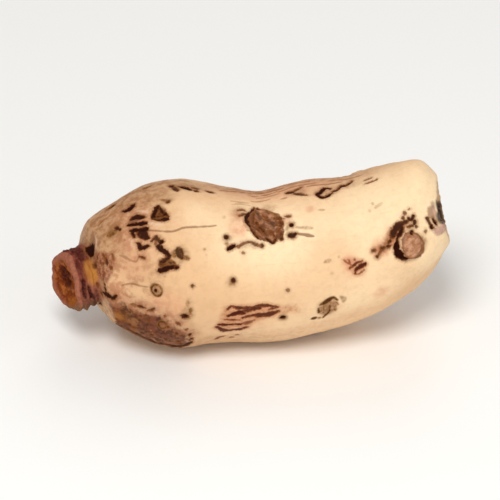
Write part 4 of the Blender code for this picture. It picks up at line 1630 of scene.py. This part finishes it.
class Ink(NamedTuple):
    """A kind of small mark: its colours in its middle, at its edge and round it, and how ragged it is."""

    measure: str
    dark: tuple
    light: tuple
    halo: tuple
    rag: float


FLECK_INK = Ink("fleck", FLECK, FLECK_LIGHT, FLECK_HALO, rag=1.0)
STREAK_INK = Ink("streak", STREAK, STREAK_LIGHT, STREAK_HALO, rag=1.1)


def small_marks(graph, grain, surface, ink):
    """A kind of mark: a halo round it, and in it a colour from light to dark by its tone."""
    edge, tone = graph.measure(ink.measure), graph.measure(ink.measure + "_tone")
    around = graph.marked(ink.measure, grain.rag, amount=1.8, soft=0.8, grown=0.5)
    within = graph.marked(ink.measure, grain.rag, amount=ink.rag, soft=0.22, grown=0.08)
    depth = tone + (grain.fine - 0.5) * 2.0 + edge.step(0.05, -0.8) * 0.6
    mark_colour = graph.mix(depth.step(0.5, 1.3), ink.light, ink.dark)
    surface = surface.tinted(ink.halo, around * tone * 0.85)
    return surface.tinted(mark_colour, within * (tone * 0.5 + 0.5)), within


# How light goes into the flesh and comes off the skin: distances as the shader takes them, in m.
FLESH_SHARE, FLESH_REACH, FLESH_REDS = 0.12, 2.0 * MM, (1.0, 0.5, 0.25)
GLOSS = 0.07


def taro_material():
    """The whole skin: bare skin, with every mark on it laid over in turn."""
    material = bpy.data.materials.new("taro_skin")
    graph = Graph(material)
    places = graph.places()
    grain = skin_grain(graph, places)
    surface = bare_skin(graph, grain)
    surface, skin = left_on_skin(graph, grain, surface)
    surface, scar, fibre = scars(graph, grain, surface)
    surface = broken_end(graph, grain, surface, fibre)
    surface, stub = shoot_stub(graph, grain, places, surface)
    surface = laid(graph, grain, surface, *SHADE_LAYERS)
    surface = bud_and_stains(graph, grain, surface)
    surface = laid(graph, grain, surface, MAUVE_LAYER)
    surface = surface.tinted(FLAKE, graph.measure("flake") * 0.85)
    surface, _ = small_marks(graph, grain, surface, STREAK_INK)
    crack = graph.marked("crack", grain.rag, amount=0.3, soft=0.25)
    surface = surface.tinted(CRACK, crack * graph.measure("crack_tone"))
    surface, fleck = small_marks(graph, grain, surface, FLECK_INK)

    dark = fleck.either(skin).either(scar.either(stub))
    roughness = dark * 0.22 + 0.42 + grain.fine * 0.12
    height = grain.finest * 0.05 + grain.fine * 0.09 + grain.lengthwise * 0.07 + dark * (grain.rag * 0.25)
    bump = graph.add("ShaderNodeBump", {"Height": height, "Distance": MM}, "Normal")
    looks = {
        "Base Color": surface,
        "Roughness": roughness,
        "Normal": bump,
        "Subsurface Weight": FLESH_SHARE,
        "Subsurface Radius": FLESH_REDS,
        "Subsurface Scale": FLESH_REACH,
        "Specular IOR Level": GLOSS,
    }
    for name, value in looks.items():
        graph.feed(graph.shader.inputs[name], value)
    return material


# The floor, the light and the camera.
FLOOR_SIZE, FLOOR_ROUGHNESS = 4.0, 0.6
FLOOR_COLOUR, SKY_COLOUR, SKY_STRENGTH = colour(250, 249, 246), colour(250, 249, 247), 0.42
CAMERA_AZIMUTH, CAMERA_ELEVATION = -7.0, 32.0
LENS_MM, SENSOR_MM = 360.0, 36.0
CLIP_START, CLIP_END = 0.01, 20
WIDTH_IN_VIEW = 0.83


def view_directions():
    """Unit vectors to the right in the view and back towards the camera."""
    azimuth, elevation = math.radians(CAMERA_AZIMUTH), math.radians(CAMERA_ELEVATION)
    right = Vector((math.cos(azimuth), math.sin(azimuth), 0))
    level = Vector((math.sin(azimuth), -math.cos(azimuth), 0))
    back = level * math.cos(elevation) + Vector((0, 0, 1)) * math.sin(elevation)
    return right, back


def make_camera(low, high):
    """A camera with a long lens, so far off that the box takes its share of the view's width."""
    right, back = view_directions()
    centre = (low + high) / 2
    size = high - low
    width = abs(right.x) * size.x + abs(right.y) * size.y
    data = bpy.data.cameras.new("camera")
    data.lens, data.sensor_width = LENS_MM, SENSOR_MM
    data.clip_start, data.clip_end = CLIP_START, CLIP_END
    camera = new_object("camera", data)
    camera.location = centre + back * (width / WIDTH_IN_VIEW * LENS_MM / SENSOR_MM)
    face_along(camera, -back)
    bpy.context.scene.camera = camera


def make_floor():
    """The white ground, which belongs to the stage and not to the part."""
    bm = bmesh.new()
    bmesh.ops.create_grid(bm, x_segments=1, y_segments=1, size=FLOOR_SIZE / 2)
    floor = new_mesh_object("floor", bm)
    material = bpy.data.materials.new("floor")
    material.use_nodes = True
    shader = material.node_tree.nodes["Principled BSDF"]
    shader.inputs["Base Color"].default_value = FLOOR_COLOUR
    shader.inputs["Roughness"].default_value = FLOOR_ROUGHNESS
    floor.data.materials.append(material)


class Lamp(NamedTuple):
    """A soft lamp: where it stands from the taro in m, its size in m and its power in W."""

    name: str
    place: tuple
    size: float
    power: float


LAMPS = (
    Lamp("low", (0.25, -1.0, 0.12), 0.8, 0.9),
    Lamp("key", (-0.25, -0.7, 1.1), 0.6, 11.2),
    Lamp("fill", (0.9, -0.6, 0.5), 0.9, 1.6),
    Lamp("back", (0.3, 0.9, 0.9), 0.9, 2.2),
)


def make_lights(middle):
    """The lamps round the box's middle, and the pale sky."""
    for lamp in LAMPS:
        data = bpy.data.lights.new(lamp.name, "AREA")
        data.shape, data.size, data.energy = "DISK", lamp.size, lamp.power
        light = new_object(lamp.name, data)
        light.location = middle + Vector(lamp.place)
        face_along(light, -Vector(lamp.place))
    world = bpy.data.worlds.new("studio")
    world.use_nodes = True
    background = world.node_tree.nodes["Background"]
    background.inputs["Color"].default_value = SKY_COLOUR
    background.inputs["Strength"].default_value = SKY_STRENGTH
    bpy.context.scene.world = world


def main():
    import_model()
    cad_low, cad_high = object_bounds()
    skin = taro_skin()
    skin.data.materials.append(taro_material())
    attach(skin, "root")
    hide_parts("taro")
    make_floor()
    make_lights((cad_low + cad_high) / 2)
    make_camera(cad_low, cad_high)
    bpy.context.scene.view_settings.view_transform = "Standard"


main()
